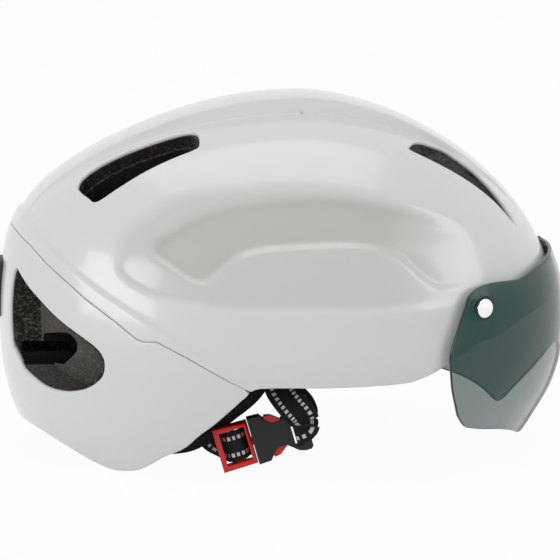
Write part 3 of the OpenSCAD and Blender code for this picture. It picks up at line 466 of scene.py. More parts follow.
def shell_keeps(points, upper):
    """How far each point lies inside the upper or the lower moulding, with the roll and depth of the nearest edge."""
    x, y, z = points[..., 0], np.abs(points[..., 1]), points[..., 2]
    far = np.full(x.shape, 1e3)
    seam = how_deep(seam_line, x, z, False)
    tests = ((how_deep(rim_line, x, z, False), 1.1, 1.6),
             ((seam if upper else -seam) - seam_gap, 0.55, 0.25 if upper else lip_drop),
             (np.where(z > 60, -how_deep(back_vent, x, y), far), 1.1, 1.2),
             (np.where(z > 60, -how_deep(front_vent, x, y), far), 1.1, 1.2),
             (np.where(x < -40, -how_deep(rear_vent, y, z), far), 1.3, 1.2),
             (np.where(x < -60, -how_deep(light_pocket, points[..., 1], z), far), 0.5, 1.4),
             (np.where(x > 60, np.hypot((y - stud_y) * stud_lean[0] - (x - stud_x) * stud_lean[1],
                                        z - stud_z) - magnet_hole, far), 0.3, 1.4),
             (np.where((x > 110) & (y < 20), np.hypot(y, (z - tab_z) * tab_lean[0] - (x - tab_x) * tab_lean[1])
                       - magnet_hole, far), 0.3, 1.4))
    kept, roll, drop = far, np.ones(x.shape), np.ones(x.shape)
    for inside, edge_roll, edge_drop in tests:
        nearer = inside - edge_roll < kept
        kept = np.where(nearer, inside - edge_roll, kept)
        roll = np.where(nearer, edge_roll, roll)
        drop = np.where(nearer, edge_drop, drop)
    return kept, roll, drop


def put_mesh(name, points, corners, sizes, merge=6e-5):
    """Piece from points in millimetres, all faces' corners in a row and each face's number of corners."""
    used, corners = np.unique(corners, return_inverse=True)
    mesh = bpy.data.meshes.new(name)
    mesh.vertices.add(len(used))
    mesh.vertices.foreach_set("co", (points[used] * MM).ravel())
    mesh.loops.add(len(corners))
    mesh.loops.foreach_set("vertex_index", corners.ravel().astype(np.int32))
    mesh.polygons.add(len(sizes))
    mesh.polygons.foreach_set("loop_start", np.concatenate([[0], np.cumsum(sizes)[:-1]]).astype(np.int32))
    mesh.update(calc_edges=True)
    mesh.validate()
    if merge:
        edit = bmesh.new()
        edit.from_mesh(mesh)
        bmesh.ops.remove_doubles(edit, verts=edit.verts, dist=merge)
        bmesh.ops.dissolve_degenerate(edit, edges=edit.edges, dist=1e-7)
        edit.to_mesh(mesh)
        edit.free()
    mesh.polygons.foreach_set("use_smooth", np.ones(len(mesh.polygons), bool))
    return add(name, mesh)


def spots_of(mesh):
    """A mesh's points in metres, one row each."""
    spots = np.empty(len(mesh.vertices) * 3, np.float32)
    mesh.vertices.foreach_get("co", spots)
    return spots.reshape(-1, 3)


def mark(piece, name, domain, values):
    """Writes one number for each point or face, which the piece's material reads."""
    piece.data.attributes.new(name, "FLOAT", domain).data.foreach_set("value", values)


def hand_over(piece, finish, body, *nodes):
    """Gives a piece its material and the body it moves with, and hides the CAD nodes it stands for."""
    piece.data.materials.clear()
    piece.data.materials.append(finish.material)
    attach(piece, body)
    if nodes:
        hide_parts(*nodes)
    return piece


def trimmed_shell(name, upper):
    """Cuts the grid along the line where the keep value is 0, rolls each cut edge over and mirrors the half.
    A rolled edge is a quarter circle: out along the cut by roll * sin, inwards by roll * (1 - cos). The lower
    moulding's seam edge has a lip that reaches under the upper one; the other edges turn back."""
    value = shell_keeps(base_grid, upper)[0]
    rows, columns = value.shape
    count = rows * columns
    kept = value > 0
    names = np.where(kept, np.arange(count).reshape(rows, columns), -1)
    cut_from, cut_to, slots = [], [], []
    for first, second in (((slice(None), slice(None, -1)), (slice(None), slice(1, None))),
                          ((slice(None, -1), slice(None)), (slice(1, None), slice(None)))):
        crossed = kept[first] != kept[second]
        slot = np.full(crossed.shape, -1)
        slot[crossed] = count + sum(map(len, cut_from)) + np.arange(crossed.sum())
        slots.append(slot)
        cut_from.append(np.arange(count).reshape(rows, columns)[first][crossed])
        cut_to.append(np.arange(count).reshape(rows, columns)[second][crossed])
    cut_from, cut_to = np.concatenate(cut_from), np.concatenate(cut_to)
    flat = value.ravel()
    share = np.clip(flat[cut_from] / (flat[cut_from] - flat[cut_to]), 0.04, 0.96)[:, None]

    def at_cut(field):
        field = field.reshape(-1, 3)
        return field[cut_from] * (1 - share) + field[cut_to] * share

    flat_edges, tall_edges = slots
    cells = np.stack([names[:-1, :-1], flat_edges[:-1], names[:-1, 1:], tall_edges[:, 1:], names[1:, 1:],
                      flat_edges[1:], names[1:, :-1], tall_edges[:, :-1]], axis=-1).reshape(-1, 8)
    cells = cells[(cells >= 0).sum(axis=1) >= 3]
    present = cells >= 0
    sizes = present.sum(axis=1)
    corners = cells[present]
    edge_a, edge_b = [], []
    for k in (1, 3, 5, 7):
        onward = np.roll(cells, -(k + 1), axis=1)
        skip = (onward >= 0).argmax(axis=1)
        bare = present[:, k] & ((k + 1 + skip) % 2 == 1)
        edge_a.append(cells[bare, k])
        edge_b.append(onward[bare, skip[bare]])
    edge_a, edge_b = np.concatenate(edge_a) - count, np.concatenate(edge_b) - count

    at_base, at_place, normal = at_cut(base_grid), at_cut(shell_grid), at_cut(shell_out)
    normal = normal / np.linalg.norm(normal, axis=1, keepdims=True)
    _, roll, drop = shell_keeps(at_base, upper)
    slope = np.stack([shell_keeps(at_base + step, upper)[0] - shell_keeps(at_base - step, upper)[0]
                      for step in np.eye(3) * 0.2], axis=1)
    away = -(slope - normal * (slope * normal).sum(axis=1, keepdims=True))
    away = away / np.maximum(np.linalg.norm(away, axis=1, keepdims=True), 1e-9)
    roll, drop = roll[:, None], drop[:, None]
    rings = [at_place] + [at_place + away * roll * math.sin(a) - normal * roll * (1 - math.cos(a))
                          for a in np.radians((22, 45, 68, 90))]
    rings.append(rings[-1] - normal * drop)
    rings.append(rings[-1] + away * np.where(drop == lip_drop, lip_reach, -turned_back))
    cuts = len(at_place)
    points = np.vstack([shell_grid.reshape(-1, 3)] + rings)
    for k in range(len(rings) - 1):
        here, below = count + k * cuts, count + (k + 1) * cuts
        strip = np.stack([edge_b + here, edge_a + here, edge_a + below, edge_b + below], axis=1)
        corners = np.concatenate([corners, strip.ravel()])
        sizes = np.concatenate([sizes, np.full(len(strip), 4)])
    ends = np.cumsum(sizes)
    starts = ends - sizes
    backwards = np.repeat(starts + ends - 1, sizes) - np.arange(len(corners))
    return put_mesh(name, np.vstack([points, points * (1, -1, 1)]),
                    np.concatenate([corners, corners[backwards] + len(points)]), np.concatenate([sizes, sizes]),
                    merge=2e-6)


gloss_white = Finish("gloss_white", (0.80, 0.81, 0.81), 0.3, "white_shell", Coat_Weight=0.7, Coat_Roughness=0.12)
gloss_white.vary(rough=(0.26, 0.12, 60, 3), relief=(420, 1, 0.012, 0.5))
# Painted shade: inside the scoop, and at half strength on the shoulder round it, the white base colour is darkened to
# a warm grey. This stands in for the darker reflection the recess shows.
gloss_white.set("Base Color", gloss_white.mix(gloss_white.attribute("scooped"), gloss_white.mix(
    gloss_white.grain(9, 2), (0.765, 0.78, 0.775), (0.80, 0.81, 0.80)), (0.58, 0.57, 0.535)))
for shell_name, is_upper in (("upper_shell", True), ("lower_shell", False)):
    moulding = trimmed_shell(shell_name + "_moulding", is_upper)
    spots = spots_of(moulding.data).astype(float) / MM
    # Share of the painted shade at each point: full in the scoop, half on the shoulder, fading out toward the front.
    mark(moulding, "scooped", "POINT",
         np.maximum(in_scoop(*spots.T), 0.5 * in_shoulder(*spots.T)) * ease((88 - spots[:, 0]) / 45))
    hand_over(moulding, gloss_white, "helmet", shell_name)


# Foam liner: two blocks of dark moulded bead foam that meet behind the seam. The head space, the vents with a ledge
# part of the way down, the pockets at the back, the dial's notch and the light's pocket are hollowed out of them.
def close_up(piece):
    """Fills the open ends of a piece and turns its faces outwards."""
    edit = bmesh.new()
    edit.from_mesh(piece.data)
    bmesh.ops.holes_fill(edit, edges=[edge for edge in edit.edges if edge.is_boundary], sides=0)
    bmesh.ops.triangulate(edit, faces=[face for face in edit.faces if len(face.verts) > 4])
    bmesh.ops.recalc_face_normals(edit, faces=edit.faces)
    edit.to_mesh(piece.data)
    edit.free()
    return piece


def grid_faces(rows, columns, around=False):
    """Corners and sizes of the faces of a grid of points, joined end to end across its columns if around."""
    names = np.arange(rows * columns).reshape(rows, columns)
    if around:
        names = np.hstack([names, names[:, :1]])
    faces = np.stack([names[:-1, :-1], names[:-1, 1:], names[1:, 1:], names[1:, :-1]], axis=-1).reshape(-1, 4)
    return faces.ravel(), np.full(len(faces), 4)


def dome_block(inset):
    """Solid under the shell's surface: its grid thinned out, moved inwards by inset, mirrored and closed below."""
    band = len(band_columns) - 1
    columns = np.unique(np.concatenate([np.arange(0, band + 1, 2), np.arange(band, band + side_columns, 4),
                                        np.arange(band + side_columns - 1, shell_grid.shape[1], 2)]))
    rows = np.unique(np.concatenate([np.arange(0, shell_rows, 4), [shell_rows]]))
    half = (shell_grid - shell_out * inset)[np.ix_(rows, columns)]
    half[:, (0, -1), 1] = 0
    half[0, :, 0] = crown_x
    corners, sizes = grid_faces(*half.shape[:2])
    half = half.reshape(-1, 3)
    mirrored_corners = corners.reshape(-1, 4)[:, ::-1].ravel() + len(half)
    return close_up(put_mesh("dome_block", np.vstack([half, half * (1, -1, 1)]),
                             np.concatenate([corners, mirrored_corners]), np.concatenate([sizes, sizes]), merge=4e-4))


def prism(outline, axis, low, high):
    """Straight block with a flat outline. The outline's two values are the two axes that are left, in order."""
    ends = [np.insert(np.array(outline, float), axis, value, axis=1) for value in (low, high)]
    corners, sizes = grid_faces(2, len(outline), around=True)
    return close_up(put_mesh("prism", np.vstack(ends), corners, sizes, merge=0))


def shrunk(outline, by):
    """Closed outline moved inwards by a distance: each point goes square to the line through its neighbours."""
    along = np.roll(outline, -1, axis=0) - np.roll(outline, 1, axis=0)
    square = np.stack([-along[:, 1], along[:, 0]], axis=1) / np.linalg.norm(along, axis=1, keepdims=True)
    turn = np.sum(outline[:, 0] * np.roll(outline[:, 1], -1) - np.roll(outline[:, 0], -1) * outline[:, 1])
    return outline + square * by * np.sign(turn)


# The head space: an oval whose middle is a little before the origin, straight up to a level and domed above it
head_x = 2
head_length = 107
head_half = 80
head_level = 30
head_dome = 76


def head_hollow(grow, top=1e3):
    """Block that fills the head space, grown by a distance all round."""
    lift = np.linspace(0, math.pi / 2, 30)
    level = np.concatenate([[-100], head_level + (head_dome + grow) * np.sin(lift)])
    size = np.concatenate([[1], np.cos(lift)])[level <= top]
    level = level[level <= top]
    points_round = 128
    turn = np.linspace(0, 2 * math.pi, points_round, endpoint=False)
    ring = np.stack([head_x + (head_length + grow) * size[:, None] * np.cos(turn),
                     (head_half + grow) * size[:, None] * np.sin(turn),
                     np.repeat(level[:, None], points_round, axis=1)], axis=2)
    corners, sizes = grid_faces(len(level), points_round, around=True)
    return close_up(put_mesh("hollow", ring.reshape(-1, 3), corners, sizes, merge=1e-5))


def stand(piece, centre, axis):
    """Moves a piece made upright at the origin to a centre, and turns it to stand along an axis."""
    piece.data.transform(Matrix.Translation(centre * MM) @ axis.to_track_quat("Z", "Y").to_matrix().to_4x4())
    return piece


def rod(centre, axis, radius, low, high):
    """Round block from low to high along an axis through a centre."""
    turn = np.linspace(0, 2 * math.pi, 32, endpoint=False)
    return stand(prism(np.stack([np.cos(turn), np.sin(turn)], axis=1) * radius, 2, low, high), centre, axis)


def as_shown(piece):
    """A new mesh of a piece with its modifiers applied."""
    return bpy.data.meshes.new_from_object(piece.evaluated_get(bpy.context.evaluated_depsgraph_get()))


def carve(piece, tool, operation="DIFFERENCE"):
    """Applies one Boolean step to a piece, and removes the tool after it."""
    step = piece.modifiers.new("carve", "BOOLEAN")
    step.object = tool
    step.operation = operation
    step.solver = "MANIFOLD"
    done = as_shown(piece)
    piece.modifiers.clear()
    piece.data = done
    bpy.data.objects.remove(tool)


rear_hole = curve_round([
    (34, 19), (41, 21.5), (50, 23), (54, 21), (55, 18), (54, 14), (49, 9), (46, 7), (39, 7), (35.5, 10)])
dial_notch = [(-35, -60), (35, -60), (35, 16), (-35, 16)]
beyond = 160
above = 190
under_shell = 1.75
top_ledge = 6.5
rear_ledge = 13.6
top_vents_over = 61
rear_vents_from = -60
dial_notch_from = -75
light_pocket_floor = -121.2
front_wall_x = 62
foam = dome_block(under_shell)
rim_cut = rim_line + (0, 1.6)
carve(foam, prism(np.vstack([rim_cut, [(-175, above), (175, above)]]), 1, -beyond, beyond), "INTERSECT")
carve(foam, head_hollow(0))
wide_hollow = head_hollow(6, head_level)
carve(wide_hollow, prism([(-beyond, -140), (front_wall_x, -140), (front_wall_x, 140), (-beyond, 140)], 2, -beyond,
                         head_level), "INTERSECT")
carve(foam, wide_hollow)
for vent, inner_step, foot in ((back_vent, 3.6, 5), (front_vent, 3.2, 50)):
    for turned in (1, -1):
        pocket = prism(shrunk(vent, 1.0) * (1, turned), 2, top_vents_over, above)
        carve(pocket, dome_block(top_ledge))
        carve(foam, pocket)
        carve(foam, prism(shrunk(vent, inner_step) * (1, turned), 2, foot, above))
for turned in (1, -1):
    pocket = prism(shrunk(rear_vent, 1.0) * (turned, 1), 0, -above, rear_vents_from)
    carve(pocket, dome_block(rear_ledge))
    carve(foam, pocket)
    carve(foam, prism(rear_hole * (turned, 1), 0, -above, rear_vents_from))
carve(foam, prism(dial_notch, 0, -above, dial_notch_from))
carve(foam, prism(light_pocket, 0, -above, light_pocket_floor))
stud_centre = Vector((stud_x, stud_y, stud_z))
stud_bearing = math.radians(58)
stud_axis = Vector((math.cos(stud_bearing), math.sin(stud_bearing), 0))
for turned in (1, -1):
    flip = Vector((1, turned, 1))
    carve(foam, rod(stud_centre * flip, stud_axis * flip, magnet_hole, -8.3, -2))
tab_from_upright = math.radians(69)
tab_axis = Vector((math.sin(tab_from_upright), 0, math.cos(tab_from_upright)))
carve(foam, rod(Vector((tab_x, 0, tab_z)), tab_axis, magnet_hole, -5.2, -1))

bead_foam = Finish("bead_foam", (0.05, 0.045, 0.04), 0.75, "foam", Specular_IOR_Level=0.15)
beads_in_metre = 1250
bead_shade = bead_foam.cells(beads_in_metre, output="Color")
bead_light = bead_foam.node("ShaderNodeSeparateColor", {}, {"Color": bead_shade})
bead_colour = bead_foam.node(
    "ShaderNodeValToRGB", {"stops": [(0.0, (0.006, 0.005, 0.004)), (0.55, (0.02, 0.017, 0.013)),
                                     (0.85, (0.058, 0.052, 0.043)), (1.0, (0.13, 0.12, 0.1))]}, {"Fac": bead_light})
# Painted light: rear ledge faces are lightened toward pale grey, as if lit from above.
bead_colour = bead_foam.mix(bead_foam.attribute("ledge") * 0.22, bead_colour, (0.3, 0.295, 0.28))
# Painted shade: faces deep in the vents, on the vent sides and round the rear holes go near black, standing in for
# shadow.
bead_foam.set("Base Color", bead_foam.mix(bead_foam.attribute("sunken"), bead_colour, (0.002, 0.002, 0.002)))
bead_foam.bump(1 - bead_foam.cells(beads_in_metre), 0.35, 0.7)


def sharp_over(piece, degrees):
    """Smooth shading, but edges that turn by more than an angle stay sharp."""
    edit = bmesh.new()
    edit.from_mesh(piece.data)
    bmesh.ops.remove_doubles(edit, verts=edit.verts, dist=1e-5)
    for face in edit.faces:
        face.smooth = True
    for edge in edit.edges:
        edge.smooth = len(edge.link_faces) == 2 and edge.calc_face_angle(0) < math.radians(degrees)
    edit.to_mesh(piece.data)
    edit.free()


# Painted shade and painted light on the foam: faces deep in a vent, on its sides or round the rear holes are painted
# darker as shade, and the rear ledges are painted lighter as light falling on them
shell_spots = KDTree(shell_grid.size // 3)
for number, spot in enumerate(shell_grid.reshape(-1, 3)):
    shell_spots.insert(spot, number)
shell_spots.balance()
below_seam = np.vstack([seam_line + (-0.05, -0.1), [(12, -170), (-190, -170)]])
for block_name, operation in (("upper_liner", "DIFFERENCE"), ("lower_liner", "INTERSECT")):
    block = add(block_name + "_foam", foam.data.copy())
    carve(block, prism(below_seam, 1, -beyond, beyond), operation)
    sharp_over(block, 32)
    middles = np.array([face.center / MM for face in block.data.polygons])
    deep = np.array([shell_spots.find((x, -abs(y), z))[2] for x, y, z in middles])
    in_top_vent = middles[:, 2] > top_vents_over + 1
    at_rear = (middles[:, 0] < rear_vents_from) & (middles[:, 2] < 60)
    near_shell = deep < 24
    past_ledge = ease((deep - np.where(in_top_vent, 7.5, 14.5)) / 3) * near_shell
    normals = np.array([face.normal for face in block.data.polygons])
    facing = np.abs(normals[:, 0])
    vent_side = in_top_vent & (np.abs(normals[:, 1]) > 0.7) & near_shell
    on_hole = at_rear & (facing < 0.1) & (np.abs(how_deep(rear_hole, np.abs(middles[:, 1]), middles[:, 2])) < 0.5)
    # Shares of the painted shade and the painted light for each face.
    mark(block, "sunken", "FACE", np.maximum.reduce([0.92 * past_ledge, 1.0 * on_hole, 0.6 * vent_side]))
    mark(block, "ledge", "FACE",
         1.0 * (at_rear & ((facing > 0.3) | (normals[:, 2] > 0.3)) & (deep > 4) & (deep < 20)))
    hand_over(block, bead_foam, "helmet", block_name)
bpy.data.objects.remove(foam)


# Visor lens: one moulded sheet of dark tinted plastic, wrapped round the brow, with a nose cut-out. Its edges are
# polished round. A domed silver stud on each side and a dark tab at the top hide the magnets that hold it.
def lens_reach(z):
    return flow([(-40, 120), (-34, 124.5), (-22, 132), (-10, 138.5), (5, 143), (22, 144.5), (40, 143), (52, 139.5),
                 (60, 136)], z) - crown_x


def lens_half(z):
    return flow([(-40, 97), (-20, 101), (0, 106), (20, 108.5), (40, 108.5), (55, 106.5), (60, 105.5)], z)


lens_top = curve_round([
    (-15, 56.2), (0, 57.2), (15, 55.8), (27, 53.2), (34, 51), (39, 49.4), (44, 49.8), (49, 49.9), (52.5, 48.9),
    (55.2, 46.6)], 8, False)
lens_low = curve_round([
    (-5.8, 2), (0, 6.5), (5.8, 2), (11.2, -8), (16.2, -20), (18.6, -27.5), (19.6, -30.3), (21.4, -31.4), (25, -30.2),
    (31.8, -27), (39.5, -24), (46.4, -22), (51, -20.4), (53.4, -19.2), (54.9, -17.2)], 8, False)
lens_rear = curve_round([
    (54.9, -17.2), (56.3, -14.6), (57.7, -11), (60.4, 1), (61.6, 14), (61.4, 21), (59.2, 33), (57.3, 41),
    (56.4, 44.6), (55.2, 46.6)], 8, False)
u = np.linspace(0, 1, 121)
v = np.linspace(0, 1, 81)
top_z = np.interp(u * lens_top[-1, 0], *lens_top.T)
low_z = np.interp(u * lens_low[-1, 0], *lens_low.T)
degree_long = 1.8
walked = np.concatenate([[0], np.cumsum(np.hypot(np.diff(lens_rear[:, 0]) * degree_long,
                                                 np.diff(lens_rear[:, 1])))])
rear_turn = np.interp(v * walked[-1], walked, lens_rear[:, 0])
rear_z = np.interp(v * walked[-1], walked, lens_rear[:, 1])
U, V = np.meshgrid(u, v)
# The lower edge blends into the upper one, and toward the rear both bend to meet the rear edge
lens_turn = U * rear_turn[:, None]
lens_z = (1 - V) * low_z + V * top_z + U * (rear_z[:, None] - (1 - V) * low_z[-1] - V * top_z[-1])
lens_turn = np.hstack([-lens_turn[:, :0:-1], lens_turn])
lens_z = np.hstack([lens_z[:, :0:-1], lens_z])


def lens_sheet(deep):
    """Points of the lens, moved inwards by a depth: egg-shaped rings that widen and narrow with the height."""
    bearing = np.radians(lens_turn)
    sideways = np.sign(bearing) * np.abs(np.sin(bearing))**(2 / plan_power)
    return np.stack([crown_x + (lens_reach(lens_z) - deep) * np.cos(bearing)**(2 / plan_power),
                     (lens_half(lens_z) - deep) * sideways, lens_z], axis=2)


def sheet_solid(name, outer, inner, edge=0.35):
    """Closed sheet between two grids: its rim goes round in two steps, drawn in at the corners."""
    rows, columns = outer.shape[:2]
    rim = np.concatenate([np.arange(columns), np.arange(1, rows) * columns + columns - 1,
                          (rows - 1) * columns + np.arange(columns - 2, -1, -1),
                          np.arange(rows - 2, 0, -1) * columns])
    count = rows * columns
    flat_outer, flat_inner = outer.reshape(-1, 3), inner.reshape(-1, 3)
    middle = (flat_outer[rim] + flat_inner[rim]) / 2
    bulge = flat_outer[rim] - outer[np.clip(rim // columns, 1, rows - 2), np.clip(rim % columns, 1, columns - 2)]
    bulge = bulge / np.maximum(np.linalg.norm(bulge, axis=1, keepdims=True), 1e-9) * edge
    points = np.vstack([flat_outer, flat_inner, middle + bulge])
    front, _ = grid_faces(rows, columns)
    rim_next = np.roll(rim, -1)
    middle_here = 2 * count + np.arange(len(rim))
    middle_next = np.roll(middle_here, -1)
    sides = np.vstack([np.stack([rim_next, rim, middle_here, middle_next], axis=1),
                       np.stack([middle_next, middle_here, rim + count, rim_next + count], axis=1)])
    corners = np.concatenate([front, front.reshape(-1, 4)[:, ::-1].ravel() + count, sides.ravel()])
    return close_up(put_mesh(name, points, corners, np.full(len(corners) // 4, 4)))


lens_thick = 1.8
lens = sheet_solid("tinted_lens", lens_sheet(0), lens_sheet(lens_thick))
tinted = Finish("tinted", (0.004, 0.075, 0.065), 0.06, "smoked_lens", Specular_IOR_Level=0.3)
tinted.vary(rough=(0.05, 0.05, 90, 3))
# Painted reflection: where the lens is seen at a slant, its base colour turns pale pink-grey to stand in for the
# white surroundings reflected at its edges.
slant = tinted.node("ShaderNodeLayerWeight", {}, {"Blend": 0.5}, "Facing")
grazing_painted_reflection = slant * slant * slant * slant
tinted.set("Base Color", tinted.mix(grazing_painted_reflection * 0.9, (0.004, 0.08, 0.068), (0.5, 0.44, 0.44)))
tinted.set("Alpha", 0.53 + 0.05 * tinted.grain(14, 1))
tinted_rim = Finish("tinted_rim", (0.012, 0.02, 0.02), 0.2)
tinted_rim.vary(rough=(0.16, 0.12, 400, 2), tones=(60, 2, (0.008, 0.014, 0.014), (0.02, 0.03, 0.03)))
hand_over(lens, tinted, "visor", "visor_lens")
lens.data.materials.append(tinted_rim.material)
for face in lens.data.polygons:
    from_crown = Vector((face.center.x - crown_x * MM, face.center.y, 0)).normalized()
    face.material_index = int(abs(face.normal.dot(from_crown)) < 0.7)


def soft_edges(node, width, finish, body, segments=3):
    """Copy of a CAD node with its loose triangles merged, its flat faces joined and its edges rounded."""
    copy = add(node + "_moulded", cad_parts[node].data.copy())
    edit = bmesh.new()
    edit.from_mesh(copy.data)
    bmesh.ops.remove_doubles(edit, verts=edit.verts, dist=1e-6)
    bmesh.ops.dissolve_limit(edit, angle_limit=math.radians(2), verts=edit.verts, edges=edit.edges)
    for face in edit.faces:
        face.smooth = True
    edit.to_mesh(copy.data)
    edit.free()
    rounding = copy.modifiers.new("rounding", "BEVEL")
    rounding.width = width * MM
    rounding.segments = segments
    rounding.limit_method = "ANGLE"
    rounding.angle_limit = math.radians(28)
    rounding.harden_normals = True
    return hand_over(copy, finish, body, node)


def refinish(finish, *nodes):
    """Gives CAD nodes whose shape is right a better material."""
    for node in nodes:
        for mesh_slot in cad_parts[node].material_slots:
            mesh_slot.link = "OBJECT"
            mesh_slot.material = finish.material


black_plastic = Finish("black_plastic", (0.016, 0.016, 0.017), 0.42, Specular_IOR_Level=0.25).vary(
    (0.36, 0.2, 240, 3), (35, 3, (0.013, 0.013, 0.014), (0.03, 0.03, 0.031)), (2600, 2, 0.03, 0.5))
plated = Finish("plated", (0.62, 0.62, 0.63), 0.25, Metallic=1.0).vary(
    (0.18, 0.25, 300, 3, (1, 1, 6)), (80, 3, (0.52, 0.52, 0.54), (0.68, 0.68, 0.69)))
polished = Finish("polished", (0.9, 0.9, 0.9), 0.1, "silver_stud", Metallic=1.0).vary(
    (0.07, 0.12, 500, 2), relief=(900, 2, 0.01, 0.4))


def turned_dome(name, centre, axis, profile, finish, *nodes):
    """Round piece on the visor: a profile of (radius, height) points carried round an axis through a centre."""
    points_round = 48
    turn = np.linspace(0, 2 * math.pi, points_round, endpoint=False)
    radius, height = np.array(profile, float).T
    ring = np.stack([radius[:, None] * np.cos(turn), radius[:, None] * np.sin(turn),
                     np.repeat(height[:, None], points_round, axis=1)], axis=2)
    corners, sizes = grid_faces(len(profile), points_round, around=True)
    piece = close_up(put_mesh(name, ring.reshape(-1, 3), corners, sizes))
    hand_over(stand(piece, centre, axis), finish, "visor", *nodes)


stud_profile = [(0.01, 2.25), (0.9, 2.22), (1.8, 2.1), (2.7, 1.86), (3.5, 1.5), (4.1, 1.05), (4.5, 0.6), (4.65, 0.35),
                (4.7, 0.1), (4.6, -0.05), (3.9, -0.1), (0.01, -0.1)]
seal_profile = [(4.7, 0.32), (5.4, 0.3), (5.75, 0.12), (5.8, -0.02), (5.0, -0.04), (4.6, 0.05), (4.7, 0.32)]
for turned, side in ((-1, "right"), (1, "left")):
    flip = Vector((1, turned, 1))
    turned_dome("stud_" + side, (stud_centre + stud_axis * 0.25) * flip, stud_axis * flip, stud_profile, polished,
                "visor_studs")
    turned_dome("stud_seal_" + side, stud_centre * flip, stud_axis * flip, seal_profile, black_plastic)
refinish(plated, "visor_magnets", "visor_seats")

# Tab: a thin dark plastic tongue with fine grip ribs, behind the top edge of the lens
ribbed = Finish("ribbed_tab", (0.03, 0.03, 0.032), 0.5, "black_plastic").vary(rough=(0.4, 0.2, 300, 2))
rib_wave = ribbed.node("ShaderNodeTexWave", {"wave_type": "BANDS", "bands_direction": "Z"},
                       {"Vector": ribbed.place(), "Scale": 130, "Distortion": 0})
ribbed.set("Base Color", ribbed.mix(rib_wave, (0.012, 0.012, 0.013), (0.075, 0.08, 0.082)))
ribbed.bump(rib_wave, 0.3, 0.8)
soft_edges("visor_tab", 0.35, ribbed, "visor")


# Straps: flat black woven webbing, 15 mm wide and 1.6 mm thick, with two rows of white stitching along it. They run
# from the anchors in the foam, through the dividers under the ears, to the buckle and round the back of the head.
outer_y = 72.8
inner_y = 70.9
strap_wide = 15.0
buckle_x = -8.5
buckle_z = -24
buckle_turn = math.radians(16)
across = (-math.sin(buckle_turn), 0, math.cos(buckle_turn))


def on_buckle(x, y, z):
    """A point given along, across and up the buckle, which hangs sloped in the right side's straps."""
    return (buckle_x + x * math.cos(buckle_turn) - z * math.sin(buckle_turn), y - outer_y - 1.2,
            buckle_z + x * math.sin(buckle_turn) + z * math.cos(buckle_turn))


def webbing(name, path, widths, finish, node, thick=1.6):
    """Flat strap along a smooth path: at each step a rounded oblong stands square to the path, its long side along
    the width direction. The UV map holds millimetres across and along the strap, times 0.001."""
    steps = 8
    line = curve_round(path, steps, False)
    flat = curve_round(widths, steps, False)
    along = np.gradient(line, axis=0)
    along = along / np.linalg.norm(along, axis=1, keepdims=True)
    flat = flat - along * (flat * along).sum(axis=1, keepdims=True)
    flat = flat / np.linalg.norm(flat, axis=1, keepdims=True)
    up = np.cross(along, flat)
    reach = np.concatenate([[0], np.cumsum(np.linalg.norm(np.diff(line, axis=0), axis=1))])
    half, edge = strap_wide / 2, thick / 2
    turn = np.radians([60, 30, 0, -30, -60])
    right = np.stack([half - edge + edge * np.cos(turn), edge * np.sin(turn)], axis=1)
    spread = np.linspace(-half + edge, half - edge, 9)
    top = np.stack([spread, np.full(len(spread), edge)], axis=1)
    section = np.vstack([top, right, -top, -right])
    ring = line[:, None] + flat[:, None] * section[None, :, :1] + up[:, None] * section[None, :, 1:]
    corners, sizes = grid_faces(len(line), len(section), around=True)
    piece = put_mesh(name, ring.reshape(-1, 3), corners, sizes, merge=0)
    number = np.arange(len(piece.data.vertices))
    vertex = np.empty(len(piece.data.loops), np.int32)
    piece.data.loops.foreach_get("vertex_index", vertex)
    uv = np.stack([section[number % len(section), 0] * MM, reach[number // len(section)] * MM], axis=1)
    piece.data.uv_layers.new(name="weave").data.foreach_set("uv", uv[vertex].ravel())
    hand_over(close_up(piece), finish, "helmet", node)


def woven_finish(name, thread):
    """Woven webbing read from the weave map: ribs across and slanted yarns, with two rows of ticks in a colour."""
    woven = Finish(name, (0.02, 0.02, 0.022), 0.8, "webbing", Sheen_Weight=0.06, Specular_IOR_Level=0.12)
    weave_uv = woven.node("ShaderNodeUVMap", {"uv_map": "weave"}, {})
    width_at = woven.node("ShaderNodeSeparateXYZ", {}, {"Vector": weave_uv}, 0) * 1000
    length_at = woven.node("ShaderNodeSeparateXYZ", {}, {"Vector": weave_uv}, 1) * 1000
    yarn = abs((width_at / 1.1 + length_at / 2.4) % 1 - 0.5) * 2
    pick = abs((length_at / 0.9) % 1 - 0.5) * 2
    rib = yarn * 0.5 + pick * 0.5
    row = abs(abs(width_at) - 4.1) < 0.95
    stitch = row * (((length_at / 2.3) % 1) < 0.58)
    edge_cord = abs(width_at) > 6.7
    woven.set("Base Color", woven.mix(stitch, woven.mix(rib, (0.008, 0.008, 0.009), (0.026, 0.026, 0.029)), thread))
    woven.bump(rib * 0.5 + stitch * 0.5 + edge_cord * 0.3, 0.25, 0.8)
    return woven


white_ticked = woven_finish("woven_webbing", (0.75, 0.75, 0.73))
black_ticked = woven_finish("black_webbing", (0.03, 0.03, 0.033))
front_path = [(42.7, outer_y + 1.9, 21), (32, outer_y + 1.5, 19.5), (18, outer_y + 0.3, 16), (9, outer_y, 14.2),
              (2, outer_y, 14)]
front_width = [(0.1, 0, 1)] * 5
rear_width = [(0.2, 0, 1), (-0.2, 0, 1), (-0.5, 0, 0.85), (-0.6, 0, 0.8), (-0.75, 0, 0.7), (-0.8, 0, 0.6)]
for side, turned, layer in (("right", -1, inner_y), ("left", 1, outer_y)):
    mirror = np.array((1, turned, 1))
    rear_path = [(-67, 61.3, -25), (-58, 65, -26.5), (-44, 68.3, -24), (-30, 70.3, -12), (-18, (layer + 72) / 2, -2),
                 (-11, layer, 8.5)]
    webbing("front_webbing_" + side, front_path * mirror, front_width * mirror, white_ticked, "front_strap_" + side)
    webbing("rear_webbing_" + side, rear_path * mirror, rear_width * mirror, black_ticked, "rear_strap_" + side)
over_bar = 4.6
in_slot = 14.0
